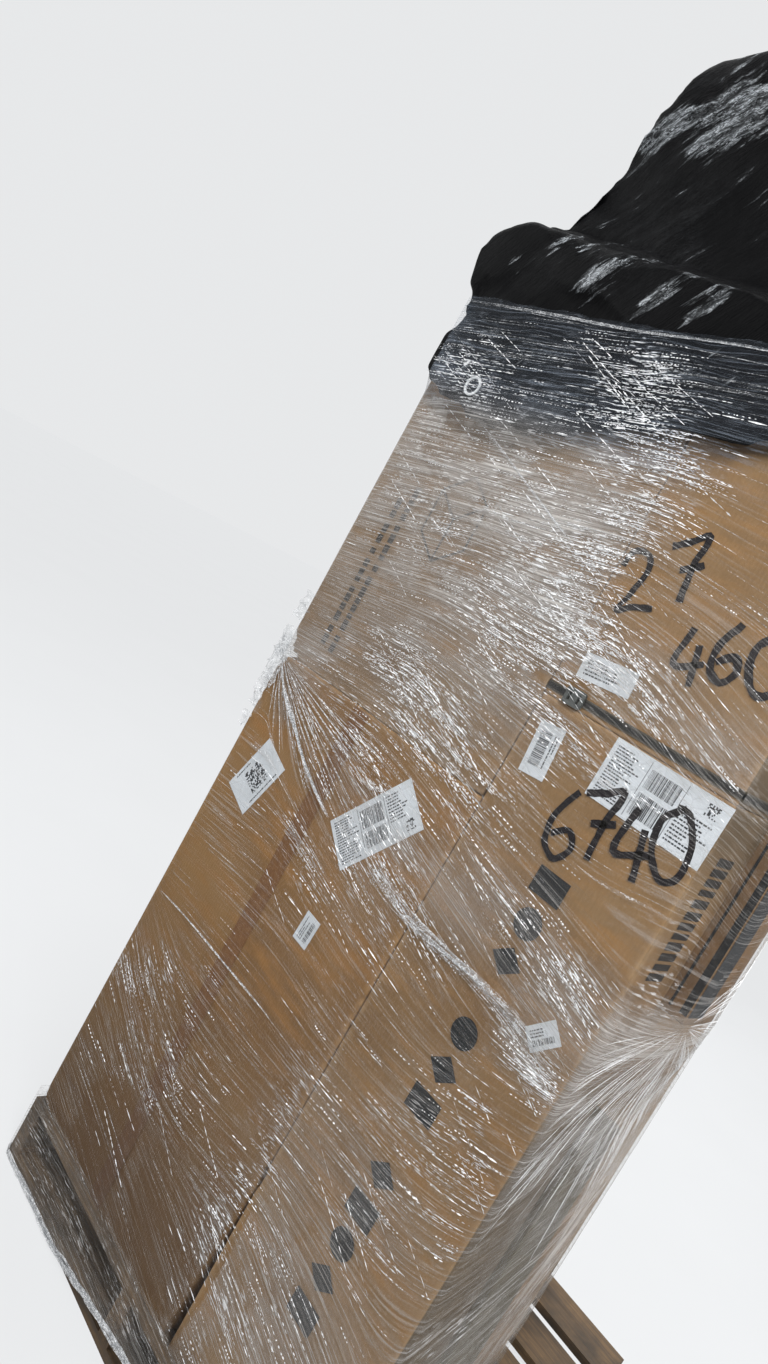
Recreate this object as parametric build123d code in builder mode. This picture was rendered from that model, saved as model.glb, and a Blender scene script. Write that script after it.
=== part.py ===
from build123d import *
import os

os.makedirs("parts", exist_ok=True)

# Shrink wrapped pallet load: cartons of several sizes on a wooden stringer pallet,
# a soft black bag on top, and stretch film round it all. Millimetres, +Z up.
# X runs along the front, Y from the front to the back. The origin is on the floor,
# at the middle of the pallet.

# Pallet
pallet_width = 1016.0
pallet_depth = 1219.0
board_thickness = 20.0
stringer_height = 105.0
stringer_width = 38.0
deck_board_width = 132.0
deck_board_count = 7
bottom_board_width = 110.0
bottom_board_count = 5

# Cartons: where the load starts, and the play between neighbours
load_left = -500.0
load_front = -600.0
carton_play = 2.0
carton_edge_radius = 2.5

# Front row, thin cartons stood on edge
front_row_depth = 148.0
front_left_width = 622.0
front_right_width = 376.0
lower_left_height = 1169.0
lower_right_height = 1376.0
load_height = 1967.0

# Second row: on the right it reaches out past the front row
second_row_depth = 112.0
second_left_width = 496.0
second_left_lower_height = 950.0
second_row_drop = 17.0
right_bottom_width = 450.0
right_bottom_reach = 12.0
right_bottom_height = 812.0
right_middle_inset = 100.0
right_middle_height = 230.0
right_top_width = 450.0
right_top_reach = 43.0
right_top_height = 718.0
right_cap_width = 380.0
right_cap_inset = 40.0

# Rear block of two rows, each of two columns three cartons high. The third carton of a column
# ends a little under the front row's top.
third_row_depth = 464.0
third_row_width = 449.0
fourth_row_depth = 470.0
fourth_row_width = 380.0
rear_left_low_height = 640.0
rear_left_mid_height = 670.0
rear_left_drop = 27.0
rear_right_low_height = 700.0
rear_right_mid_height = 596.0
rear_right_drop = 12.0

# Strapping band and its buckle, low on the upper right carton of the front row
band_width = 15.0
band_thickness = 1.0
band_rise = 9.0
band_play = 0.3
buckle_width = 38.0
buckle_height = 30.0
buckle_thickness = 4.5
buckle_slot = 5.0
buckle_inset = 60.0

# Paper labels
label_thickness = 0.4

# Black bag
bag_clearance = 0.3
bag_skirt_thickness = 24.0
bag_rounding = 40.0
eyelet_outer_radius = 20.0
eyelet_inner_radius = 15.0
eyelet_thickness = 2.0
eyelet_along = 145.0
eyelet_up = -153.0
skirt_root_left = 90.0
skirt_root_right = 60.0

# Stretch film
film_thickness = 1.0
film_clearance = 0.3
film_front_gap = 7.0
film_top_overlap = 30.0
film_step_below_skirt = 20.0

# Derived levels and lines
deck_top = board_thickness + stringer_height + board_thickness
load_top = deck_top + load_height
front_left_x1 = load_left + front_left_width
front_right_x0 = front_left_x1 + carton_play
front_right_x1 = front_right_x0 + front_right_width
front_row_y1 = load_front + front_row_depth
second_row_y0 = front_row_y1 + carton_play
second_row_y1 = second_row_y0 + second_row_depth
third_row_y0 = second_row_y1 + carton_play
third_row_y1 = third_row_y0 + third_row_depth
fourth_row_y0 = third_row_y1 + carton_play
fourth_row_y1 = fourth_row_y0 + fourth_row_depth
right_bottom_x1 = front_right_x1 + right_bottom_reach
right_middle_x1 = front_right_x1 - right_middle_inset
right_top_x1 = front_right_x1 + right_top_reach
right_cap_x1 = front_right_x1 - right_cap_inset


def save(solid, name):
    solid.label = name
    export_step(solid, "parts/" + name + ".step")


# Wooden pallet: the stringers run front to back, so forks enter at the front and the back
def board(name, y_middle, width, z_low):
    with BuildPart() as plank:
        with BuildSketch(Plane.XY.offset(z_low)):
            with Locations((0, y_middle)):
                Rectangle(pallet_width, width)
        extrude(amount=board_thickness)
    save(plank.part, name)


def board_rows(count, width):
    first = -pallet_depth / 2 + width / 2
    step = (pallet_depth - width) / (count - 1)
    return [first + step * row for row in range(count)]


for row, y_middle in enumerate(board_rows(deck_board_count, deck_board_width)):
    board(f"deck_board_{row + 1}", y_middle, deck_board_width, board_thickness + stringer_height)

for row, y_middle in enumerate(board_rows(bottom_board_count, bottom_board_width)):
    board(f"bottom_board_{row + 1}", y_middle, bottom_board_width, 0)

stringer_reach = (pallet_width - stringer_width) / 2
for side, x_middle in (("left", -stringer_reach), ("middle", 0), ("right", stringer_reach)):
    with BuildPart() as stringer:
        with BuildSketch(Plane.XY.offset(board_thickness)):
            with Locations((x_middle, 0)):
                Rectangle(stringer_width, pallet_depth)
        extrude(amount=stringer_height)
    save(stringer.part, f"stringer_{side}")


# Cartons, each with slightly rounded upright edges. Every plan corner is kept for the film.
plan_corners = []


def carton(name, x_range, y_range, z_low, height):
    width = x_range[1] - x_range[0]
    depth = y_range[1] - y_range[0]
    with BuildPart() as box:
        with BuildSketch(Plane.XY.offset(z_low)):
            with Locations(((x_range[0] + x_range[1]) / 2, (y_range[0] + y_range[1]) / 2)):
                RectangleRounded(width, depth, carton_edge_radius)
        extrude(amount=height)
    save(box.part, "carton_" + name)
    plan_corners.extend((x, y) for x in x_range for y in y_range)
    return z_low + height


front_left = (load_left, front_left_x1)
front_right = (front_right_x0, front_right_x1)
front_row = (load_front, front_row_y1)
second_row = (second_row_y0, second_row_y1)
third_row = (third_row_y0, third_row_y1)
fourth_row = (fourth_row_y0, fourth_row_y1)

left_seam = carton("front_lower_left", front_left, front_row, deck_top, lower_left_height)
carton("front_upper_left", front_left, front_row, left_seam, load_top - left_seam)
right_seam = carton("front_lower_right", front_right, front_row, deck_top, lower_right_height)
carton("front_upper_right", front_right, front_row, right_seam, load_top - right_seam)

second_left = (load_left, load_left + second_left_width)
second_row_top = load_top - second_row_drop
second_left_seam = carton("second_left_lower", second_left, second_row, deck_top,
                          second_left_lower_height)
carton("second_left_upper", second_left, second_row, second_left_seam,
       second_row_top - second_left_seam)

level = carton("second_right_bottom", (right_bottom_x1 - right_bottom_width, right_bottom_x1),
               second_row, deck_top, right_bottom_height)
level = carton("second_right_middle", (second_left[1] + carton_play, right_middle_x1),
               second_row, level, right_middle_height)
level = carton("second_right_upper", (right_top_x1 - right_top_width, right_top_x1),
               second_row, level, right_top_height)
carton("second_right_cap", (right_cap_x1 - right_cap_width, right_cap_x1),
       second_row, level, second_row_top - level)

storeys = ("low", "mid", "high")
rear_left_seams = (deck_top, deck_top + rear_left_low_height,
                   deck_top + rear_left_low_height + rear_left_mid_height,
                   load_top - rear_left_drop)
rear_right_seams = (deck_top, deck_top + rear_right_low_height,
                    deck_top + rear_right_low_height + rear_right_mid_height,
                    load_top - rear_right_drop)
for row_name, y_range, width in (("third", third_row, third_row_width),
                                 ("fourth", fourth_row, fourth_row_width)):
    left_column = (load_left, load_left + width)
    right_column = (left_column[1] + carton_play, left_column[1] + carton_play + width)
    for column_name, x_range, seams in (("left", left_column, rear_left_seams),
                                        ("right", right_column, rear_right_seams)):
        for storey, low, high in zip(storeys, seams, seams[1:]):
            carton(f"{row_name}_{column_name}_{storey}", x_range, y_range, low, high - low)

# Strapping band round the upper right carton of the front row
band_z = right_seam + band_rise
band_reach = band_play + band_thickness
band_middle = Plane(((front_right_x0 + front_right_x1) / 2,
                     (load_front + front_row_y1) / 2, band_z))
with BuildPart() as strap_band:
    with BuildSketch(band_middle):
        RectangleRounded(front_right_width + 2 * band_reach, front_row_depth + 2 * band_reach,
                         carton_edge_radius + band_reach)
        RectangleRounded(front_right_width + 2 * band_play, front_row_depth + 2 * band_play,
                         carton_edge_radius + band_play, mode=Mode.SUBTRACT)
    extrude(amount=band_width)
save(strap_band.part, "strap_band")

# Buckle: a flat frame with two slots, lying on the front of the band
buckle_front = load_front - band_reach
buckle_face = Plane(origin=(front_right_x0 + buckle_inset, buckle_front, band_z + band_width / 2),
                    x_dir=(1, 0, 0), z_dir=(0, -1, 0))
with BuildPart() as strap_buckle:
    with BuildSketch(buckle_face):
        RectangleRounded(buckle_width, buckle_height, buckle_slot)
        with GridLocations(buckle_width / 2, 0, 2, 1):
            Rectangle(buckle_slot, band_width, mode=Mode.SUBTRACT)
    extrude(amount=buckle_thickness)
save(strap_buckle.part, "strap_buckle")


# Paper labels on the front. Each is placed from a corner of its carton's front: the corner,
# then how far along and up from it the label's middle is, and its width and height.
top_left = (load_left, left_seam)
inner_right = (front_right_x0, right_seam)
outer_right = (front_right_x1, right_seam)
labels = {
    "label_shipping_right": (outer_right, -108.0, -54.0, 213.0, 102.0),
    "label_barcode_right": (inner_right, 55.0, -84.0, 52.0, 91.0),
    "label_shipping_left": (top_left, 452.0, -160.0, 203.0, 100.0),
    "label_square_left": (top_left, 111.0, -251.0, 90.0, 142.0),
    "label_small_left": (top_left, 433.0, -403.0, 42.0, 60.0),
    "label_small_right": (outer_right, -69.0, -442.0, 55.0, 38.0),
    "label_upper_right": (inner_right, 89.0, 74.0, 104.0, 44.0),
}
# How far each label is turned from level, in degrees
label_turns = {
    "label_shipping_right": -1, "label_barcode_right": 5, "label_shipping_left": 54,
    "label_square_left": -19, "label_small_left": -3, "label_small_right": 49,
    "label_upper_right": 4,
}
for name, (corner, along, up, width, height) in labels.items():
    face = Plane(origin=(corner[0] + along, load_front, corner[1] + up), x_dir=(1, 0, 0),
                 z_dir=(0, -1, 0))
    with BuildPart() as label:
        with BuildSketch(face):
            Rectangle(width, height, rotation=label_turns[name])
        extrude(amount=label_thickness)
    save(label.part, name)

# Black bag of soft goods. Its front view is drawn from the load's left side and the load's top:
# a low lobe on the left, a tall heap beside it, and a long slope down to the right.
bag_outline = (
    (0, 0), (-5, 40), (-62, 105), (-22, 168), (62, 215), (130, 413), (148, 575), (190, 625),
    (330, 635), (560, 500), (760, 310), (930, 190), (1000, 110), (945, 40), (940, 0),
)
# Lower edge of the skirt that hangs over the front of the upper cartons, from left to right
skirt_edge = (
    (-8, -150), (60, -195), (165, -220), (310, -228), (453, -186), (609, -135), (780, -118),
    (985, -112),
)
# Side view of the heap: how far back from its front, and how far up
heap_profile = (
    (0, -1), (0, 170), (45, 330), (105, 600), (145, 645), (330, 645), (475, 460), (570, 250),
    (590, -1),
)
bag_front = load_front - bag_skirt_thickness
bag_base = Vector(load_left, 0, load_top + bag_clearance)


def bag_points(outline):
    return [(bag_base.X + along, bag_base.Z + up) for along, up in outline]


with BuildPart() as black_bag:
    with BuildSketch(Plane.XZ.offset(-bag_front)) as heap:
        with BuildLine():
            Polyline(*bag_points(bag_outline), close=True)
        make_face()
        fillet(heap.vertices().sort_by(Axis.Y)[2:], bag_rounding)
    extrude(amount=-heap_profile[-1][0])
    with BuildSketch(Plane.YZ.offset(load_left + bag_outline[2][0])) as side_view:
        with BuildLine():
            Polyline(*((bag_front + back, bag_base.Z + up) for back, up in heap_profile), close=True)
        make_face()
        fillet(side_view.vertices().sort_by(Axis.Y)[2:], bag_rounding)
    extrude(amount=front_right_x1 - load_left + bag_rounding * 4, mode=Mode.INTERSECT)
    with BuildSketch(Plane.XZ.offset(-bag_front)):
        with BuildLine():
            left_end, right_end = skirt_edge[0][0], skirt_edge[-1][0]
            Polyline(*bag_points(((left_end, skirt_root_left), *skirt_edge,
                                  (right_end, skirt_root_right))), close=True)
        make_face()
    extrude(amount=-(bag_skirt_thickness - bag_clearance))
save(black_bag.part, "black_bag")

# Eyelet ring, flat on the front of the skirt
eyelet_face = Plane(origin=(bag_base.X + eyelet_along, bag_front, load_top + eyelet_up),
                    x_dir=(1, 0, 0), z_dir=(0, -1, 0))
with BuildPart() as bag_eyelet:
    with BuildSketch(eyelet_face):
        Circle(eyelet_outer_radius)
        Circle(eyelet_inner_radius, mode=Mode.SUBTRACT)
    extrude(amount=eyelet_thickness)
save(bag_eyelet.part, "bag_eyelet")


# Stretch film: a thin skin that follows the convex outline of all the cartons in plan, so it
# bridges every hollow between them. At the top it steps out round the bag's skirt.
def convex_outline(points):
    def half(ordered):
        chain = []
        for x, y in ordered:
            while len(chain) > 1:
                (ax, ay), (bx, by) = chain[-2:]
                if (bx - ax) * (y - ay) - (by - ay) * (x - ax) > 0:
                    break
                chain.pop()
            chain.append((x, y))
        return chain[:-1]
    ordered = sorted(set(points))
    return half(ordered) + half(ordered[::-1])


skirt_reach = bag_skirt_thickness + eyelet_thickness
skirt_overhang = -min(along for along, up in skirt_edge)
film_step = load_top + min(up for along, up in skirt_edge) - film_step_below_skirt
film_bottom = deck_top + film_clearance
film_top = load_top + film_top_overlap
film_outer = film_clearance + film_thickness

# Each prism: reach in front of the cartons and to their left, reach of the skin, levels, mode
film_prisms = (
    (film_front_gap, 0, film_outer, film_bottom, film_step, Mode.ADD),
    (skirt_reach, skirt_overhang, film_outer, film_step, film_top, Mode.ADD),
    (film_front_gap, 0, film_clearance, film_bottom, film_step + film_thickness, Mode.SUBTRACT),
    (skirt_reach, skirt_overhang, film_clearance, film_step + film_thickness, film_top,
     Mode.SUBTRACT),
)
with BuildPart() as stretch_film:
    for reach_front, reach_left, skin, low, high, mode in film_prisms:
        front_corners = [(load_left - reach_left, load_front - reach_front),
                         (front_right_x1, load_front - reach_front)]
        with BuildSketch(Plane.XY.offset(low)):
            with BuildLine():
                Polyline(*convex_outline(plan_corners + front_corners), close=True)
            make_face()
            offset(amount=skin, kind=Kind.INTERSECTION)
        extrude(amount=high - low, mode=mode)
save(stretch_film.part, "stretch_film")
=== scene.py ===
import math
import random

import bpy
from mathutils import Matrix, Vector, noise


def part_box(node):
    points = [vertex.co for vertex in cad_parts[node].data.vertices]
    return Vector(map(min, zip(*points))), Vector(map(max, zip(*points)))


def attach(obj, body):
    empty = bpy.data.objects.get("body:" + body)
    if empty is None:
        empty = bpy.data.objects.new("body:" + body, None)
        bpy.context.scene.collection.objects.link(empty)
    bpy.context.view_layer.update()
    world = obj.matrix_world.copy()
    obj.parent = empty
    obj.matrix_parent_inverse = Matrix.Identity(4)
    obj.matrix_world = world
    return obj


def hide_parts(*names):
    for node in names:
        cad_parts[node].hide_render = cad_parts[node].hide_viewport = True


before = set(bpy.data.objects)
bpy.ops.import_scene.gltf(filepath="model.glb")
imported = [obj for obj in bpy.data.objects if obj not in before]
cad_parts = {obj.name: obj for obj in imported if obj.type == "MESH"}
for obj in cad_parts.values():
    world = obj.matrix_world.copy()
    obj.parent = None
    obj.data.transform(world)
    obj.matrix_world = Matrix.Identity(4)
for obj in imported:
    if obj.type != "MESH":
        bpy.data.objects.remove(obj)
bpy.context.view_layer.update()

# Lengths below are in millimetres on the load, and are turned into metres where a piece is made
MM = 0.001
draws = random.Random(11)

load_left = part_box("carton_front_lower_left")[0].x / MM
load_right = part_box("carton_front_lower_right")[1].x / MM
load_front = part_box("carton_front_lower_left")[0].y / MM
load_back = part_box("carton_fourth_left_low")[1].y / MM
load_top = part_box("carton_front_upper_right")[1].z / MM
deck_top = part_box("deck_board_1")[1].z / MM
pallet_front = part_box("deck_board_1")[0].y / MM
left_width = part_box("carton_front_lower_left")[1].x / MM - load_left
left_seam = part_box("carton_front_lower_left")[1].z / MM - deck_top
film_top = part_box("stretch_film")[1].z / MM
front_width = 1000


def front_point(along, up, proud):
    """A point on the load's front: along from its left edge, up from the deck, proud of the cartons."""
    return Vector(((load_left + along) * MM, (load_front - proud) * MM, (deck_top + up) * MM))


def smooth_step(low, high, value):
    """0 below low and 1 above high, with a smooth change between."""
    part = min(max((value - low) / (high - low), 0.0), 1.0)
    return part * part * (3 - 2 * part)


def broken_line(points, value):
    """Height of a broken line of (along, height) points at one place along it."""
    if value <= points[0][0]:
        return points[0][1]
    for (x0, y0), (x1, y1) in zip(points, points[1:]):
        if value <= x1:
            return y0 + (y1 - y0) * (value - x0) / (x1 - x0)
    return points[-1][1]


def ripple(x, y, z=0.0):
    """Smooth noise from about -1 to 1."""
    return noise.noise(Vector((x, y, z)))


def added(name, data):
    """Puts a mesh, lamp or lens into the scene as an object."""
    made = bpy.data.objects.new(name, data)
    bpy.context.scene.collection.objects.link(made)
    return made


def strip_faces(first, count):
    """Quads of a strip whose points are stored in pairs."""
    return [(first + 2 * i, first + 2 * i + 1, first + 2 * i + 3, first + 2 * i + 2) for i in range(count)]


def curve_spot(before, a, b, after, share):
    """A place on the smooth curve from a to b, whose neighbours are before and after."""
    return tuple(0.5 * (2 * a[k] + (b[k] - before[k]) * share
                        + (2 * before[k] - 5 * a[k] + 4 * b[k] - after[k]) * share ** 2
                        + (3 * a[k] - before[k] - 3 * b[k] + after[k]) * share ** 3)
                 for k in (0, 1))


# Camera
camera_place = Vector((1.0078, -1.9068, 1.5772))
camera_yaw = math.radians(42.797)
camera_pitch = math.radians(6.310)
camera_roll = math.radians(-29.102)
camera_lens = 24.71
sensor_long_side = 36.0
farthest_seen = 100.0


def make_camera():
    """Stands the camera to the right of the load, turned about its own line of sight."""
    ahead = Vector((-math.sin(camera_yaw) * math.cos(camera_pitch),
                    math.cos(camera_yaw) * math.cos(camera_pitch),
                    -math.sin(camera_pitch)))
    level = Vector((math.cos(camera_yaw), math.sin(camera_yaw), 0.0))
    upright = level.cross(ahead)
    side = math.cos(camera_roll) * level - math.sin(camera_roll) * upright
    head = math.sin(camera_roll) * level + math.cos(camera_roll) * upright
    lens = bpy.data.cameras.new("camera")
    lens.lens = camera_lens
    lens.sensor_width = sensor_long_side
    lens.sensor_fit = "AUTO"
    lens.clip_end = farthest_seen
    camera = added("camera", lens)
    axes = Matrix((side, head, -ahead)).transposed()
    camera.matrix_world = Matrix.Translation(camera_place) @ axes.to_4x4()
    bpy.context.scene.camera = camera


# Shader building
class Value:
    """A shader socket that takes part in sums and products with other sockets and with numbers."""

    def __init__(self, finish, socket):
        self.finish = finish
        self.socket = socket

    def __add__(self, other):
        return self.finish.maths("ADD", self, other)

    __radd__ = __add__

    def __sub__(self, other):
        return self.finish.maths("SUBTRACT", self, other)

    def __rsub__(self, other):
        return self.finish.maths("SUBTRACT", other, self)

    def __mul__(self, other):
        return self.finish.maths("MULTIPLY", self, other)

    __rmul__ = __mul__


class Finish:
    """A node material, or the world's shader, while it is being built."""

    def __init__(self, name, library="materials"):
        self.material = getattr(bpy.data, library).new(name)
        self.material.use_nodes = True
        self.tree = self.material.node_tree
        self.tree.nodes.clear()

    def node(self, kind, settings, inputs, output=0):
        """Adds a node, sets it, then fills its sockets with values or links. Gives one output."""
        made = self.tree.nodes.new(kind)
        for key, setting in settings.items():
            setattr(made, key, setting)
        for key, value in inputs.items():
            if isinstance(value, Value):
                self.tree.links.new(value.socket, made.inputs[key])
            else:
                made.inputs[key].default_value = value
        return Value(self, made.outputs[output]) if made.outputs else None

    def maths(self, operation, first, second=0.0):
        return self.node("ShaderNodeMath", {"operation": operation}, {0: first, 1: second})

    def clamp(self, value):
        return self.node("ShaderNodeClamp", {}, {"Value": value})

    def spread(self, value, low, high, start=0.0, end=1.0):
        """Spreads low..high of a value over start..end, and holds it there."""
        return self.node("ShaderNodeMapRange", {"clamp": True},
                         {0: value, 1: low, 2: high, 3: start, 4: end})

    def place(self):
        """Object coordinates, which are the frame's own metres."""
        return self.node("ShaderNodeTexCoord", {}, {}, output="Object")

    def unwrapped(self, layer):
        return self.node("ShaderNodeUVMap", {"uv_map": layer}, {})

    def painted(self, layer):
        """A number kept on the mesh's own points."""
        return self.node("ShaderNodeAttribute", {"attribute_name": layer}, {}, output="Fac")

    def stretched(self, vector, scale, shift=(0.0, 0.0, 0.0)):
        scaled = self.node("ShaderNodeVectorMath", {"operation": "MULTIPLY"}, {0: vector, 1: scale})
        return self.node("ShaderNodeVectorMath", {"operation": "ADD"}, {0: scaled, 1: shift})

    def turned(self, vector, degrees, about="Z"):
        return self.node("ShaderNodeVectorRotate", {"rotation_type": about + "_AXIS"},
                         {"Vector": vector, "Angle": math.radians(degrees)})

    def cloud(self, vector, scale, detail=2.0, roughness=0.5, distortion=0.0):
        return self.node("ShaderNodeTexNoise", {"noise_dimensions": "3D"},
                         {"Vector": vector, "Scale": scale, "Detail": detail,
                          "Roughness": roughness, "Distortion": distortion})

    def streaks(self, vector, scale, shift=(0.0, 0.0, 0.0), **settings):
        """A cloud that is stretched by a scale for each axis."""
        return self.cloud(self.stretched(vector, scale, shift), 1, **settings)

    def cracks(self, vector, scale):
        """Distance to the nearest border of a pattern of cells."""
        return self.node("ShaderNodeTexVoronoi", {"feature": "DISTANCE_TO_EDGE"},
                         {"Vector": vector, "Scale": scale})

    def axis(self, vector, letter):
        return self.node("ShaderNodeSeparateXYZ", {}, {0: vector}, output=letter)

    def blend(self, factor, first, second):
        """A colour between two colours."""
        return self.node("ShaderNodeMix", {"data_type": "RGBA"}, {0: factor, 6: first, 7: second},
                         output=2)

    def bump(self, height, strength, distance):
        return self.node("ShaderNodeBump", {},
                         {"Height": height, "Strength": strength, "Distance": distance})

    def shown(self):
        """1 for rays that are seen, mirrored or let through, 0 for rays that light the load."""
        seen = self.node("ShaderNodeLightPath", {}, {}, output="Is Camera Ray")
        through = self.node("ShaderNodeLightPath", {}, {}, output="Is Transmission Ray")
        mirrored = self.node("ShaderNodeLightPath", {}, {}, output="Is Glossy Ray")
        return self.maths("MAXIMUM", self.maths("MAXIMUM", seen, through), mirrored)

    def principled(self, **sockets):
        """A Principled shader. Socket names are written with low lines."""
        named = {key.replace("_", " "): value for key, value in sockets.items()}
        return self.node("ShaderNodeBsdfPrincipled", {}, named)

    def surface(self, **sockets):
        """Ends the material with one Principled shader."""
        self.node("ShaderNodeOutputMaterial", {}, {"Surface": self.principled(**sockets)})
        return self.material


def shade(red, green, blue):
    """A colour as it looks on a screen, from 0 to 255, as the numbers that a shader takes."""
    def linear(level):
        level = level / 255
        return level / 12.92 if level <= 0.04045 else ((level + 0.055) / 1.055) ** 2.4
    return (linear(red), linear(green), linear(blue), 1.0)


film_white = (0.98, 0.985, 1.0, 1.0)
plastic_ior = 1.5
flute_pitch = 0.0078
strap_rib_pitch = 0.0015
# Lean of the bag's pulled folds from upright, in degrees
bag_pull = 38


def kraft_finish(name, tone, flutes):
    """Brown kraft board: fibres, faint flute lines, rubbed patches, edges worn paler, and painted shade
    low down and on the front row's right sides.
    """
    board = Finish(name)
    place = board.place()
    patches = board.cloud(place, 3.2, detail=4)
    fibres = board.cloud(board.stretched(place, (1, 1, 0.35)), 260, detail=3, roughness=0.7)
    specks = board.cloud(place, 900, detail=1)
    smears = board.cloud(board.stretched(place, (0.5, 1, 2.2)), 14, detail=4, roughness=0.62)
    lines = board.maths("SINE", board.axis(place, flutes) * (2 * math.pi / flute_pitch))
    red, green, blue = tone
    low_shade_tone = shade(58, 44, 32)
    dusky = shade(50, 47, 38)
    middle = shade(red, green, blue)
    deep = shade(red * 0.84, green * 0.80, blue * 0.74)
    warm = shade(min(red * 1.05, 255), green * 0.985, blue * 0.86)
    pale = shade(min(red * 1.10, 255), min(green * 1.12, 255), min(blue * 1.17, 255))
    colour = board.blend(board.spread(patches, 0.36, 0.64), deep, middle)
    colour = board.blend(board.spread(smears, 0.47, 0.70), colour, warm)
    colour = board.blend(board.spread(fibres, 0.45, 0.75) * 0.38, colour, pale)
    colour = board.blend(board.spread(specks, 0.60, 0.74) * 0.35, colour, deep)
    colour = board.blend(board.spread(lines, 0.2, 1.0) * 0.07, colour, deep)
    worn = board.painted("wear") * board.spread(board.cloud(place, 60, detail=4), 0.35, 0.62)
    colour = board.blend(board.clamp(worn), colour, pale)
    # Painted shade: the board is darker towards the deck
    grime = board.painted("grime") * board.spread(smears, 0.25, 0.7, 0.55, 0.85)
    colour = board.blend(grime, colour, low_shade_tone)
    # Painted shade on the right sides of the front row
    dusk = board.painted("dusk") * board.spread(smears, 0.2, 0.6, 0.7, 1.0)
    colour = board.blend(dusk, colour, dusky)
    bump = board.bump(lines * 0.5 + smears * 0.6 + fibres * 0.5, 0.25, 0.0006)
    return board.surface(Base_Color=colour, Roughness=board.spread(patches, 0.3, 0.7, 0.66, 0.86),
                         Specular_IOR_Level=0.25, Normal=bump)


def film_finish(name):
    """Clear stretch film: haze in drawn streaks, clear where it clings, and small white creases whose
    white is partly the film's own and partly painted glint.
    """
    film = Finish(name)
    flow = film.unwrapped("flow")
    wrap = film.unwrapped("wrap")
    milk = film.painted("milk")
    sparkle = film.painted("sparkle")
    drawn = film.streaks(flow, (4.6, 215, 0), detail=5, roughness=0.66)
    hair = film.streaks(flow, (4.5, 330, 0), (3, 8, 0), detail=3, roughness=0.6)
    swell = film.streaks(flow, (2.0, 13, 0), (9, 2, 0), detail=3)
    cling = film.streaks(wrap, (6, 8, 0), (2, 5, 0), detail=4, roughness=0.55, distortion=0.8)
    cross = film.turned(wrap, 24)
    scratch = film.streaks(cross, (5, 230, 0), (5, 1, 0), detail=3, roughness=0.6)
    fleck = film.streaks(flow, (34, 300, 0), (1, 7, 0), detail=2, roughness=0.55)
    cluster = film.streaks(flow, (9, 22, 0), (4, 4, 0), detail=3, roughness=0.6)
    lines = film.spread(drawn, 0.46, 0.59)
    hairs = film.spread(hair, 0.535, 0.62)
    veil = milk * film.spread(swell, 0.32, 0.68, 0.62, 1.25) * (0.76 + 0.52 * lines)
    hair_share = film.spread(milk, 0.004, 0.02, 0.06, 0.25) + 0.40 * milk
    veil = veil * film.spread(cling, 0.44, 0.50, 0.62, 1.08) + hairs * hair_share
    # White flecks and scratch lines: partly the white of creased film, partly painted glints
    scratch_glints = film.spread(scratch, 0.59, 0.67) * film.spread(cluster, 0.44, 0.60) * 0.5
    fleck_glints = film.spread(fleck, 0.575, 0.625) * film.spread(cluster, 0.43, 0.58)
    bright = film.clamp((fleck_glints * 1.5 + scratch_glints) * sparkle)
    high = film.spread(film.axis(film.place(), "Z"), 1.90, 1.97)
    veil_tone = film.blend(high, shade(200, 195, 190), shade(158, 170, 186))
    colour = film.blend(bright, veil_tone, film_white)
    height = drawn * 1.2 + hair * 0.5 + swell * 2.0 + scratch * 0.4 + fleck * 0.4
    return film.surface(Base_Color=colour, Alpha=film.clamp(veil + bright * 0.95 + 0.02),
                        Roughness=film.spread(swell, 0.3, 0.7, 0.16, 0.32),
                        Normal=film.bump(height, 0.8, 0.0035), IOR=plastic_ior)


gathered_tone = (194.36, 196.94, 199.52)


def bunched_film_finish(name, thin):
    """Film gathered into ropes and tufts, where its many layers turn white. thin is its cover."""
    film = Finish(name)
    place = film.place()
    grain = film.streaks(place, (60, 60, 130), detail=4, roughness=0.65)
    ridge = film.spread(film.maths("ABSOLUTE", grain - 0.5), 0.035, 0.0)
    cloudy = film.cloud(place, 60, detail=3)
    colour = film.blend(ridge, shade(*gathered_tone), film_white)
    opacity = film.clamp(film.spread(cloudy, 0.35, 0.65, thin * 0.35, thin * 1.2) + ridge * 0.6)
    return film.surface(Base_Color=colour, Alpha=opacity, Roughness=0.16,
                        Normal=film.bump(grain, 0.8, 0.001), IOR=plastic_ior)


def crease_glint_finish():
    """The white top of a small film crease: partly the white of creased film, partly a painted glint."""
    film = Finish("film_crease_glint")
    grain = film.cloud(film.place(), 300, detail=2)
    white = film.blend(film.spread(grain, 0.3, 0.7), shade(236, 238, 241), shade(255, 255, 255))
    return film.surface(Base_Color=white, Alpha=film.spread(grain, 0.30, 0.58, 0.66, 1.0),
                        Roughness=0.14, Specular_IOR_Level=1.0, IOR=plastic_ior)


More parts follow.
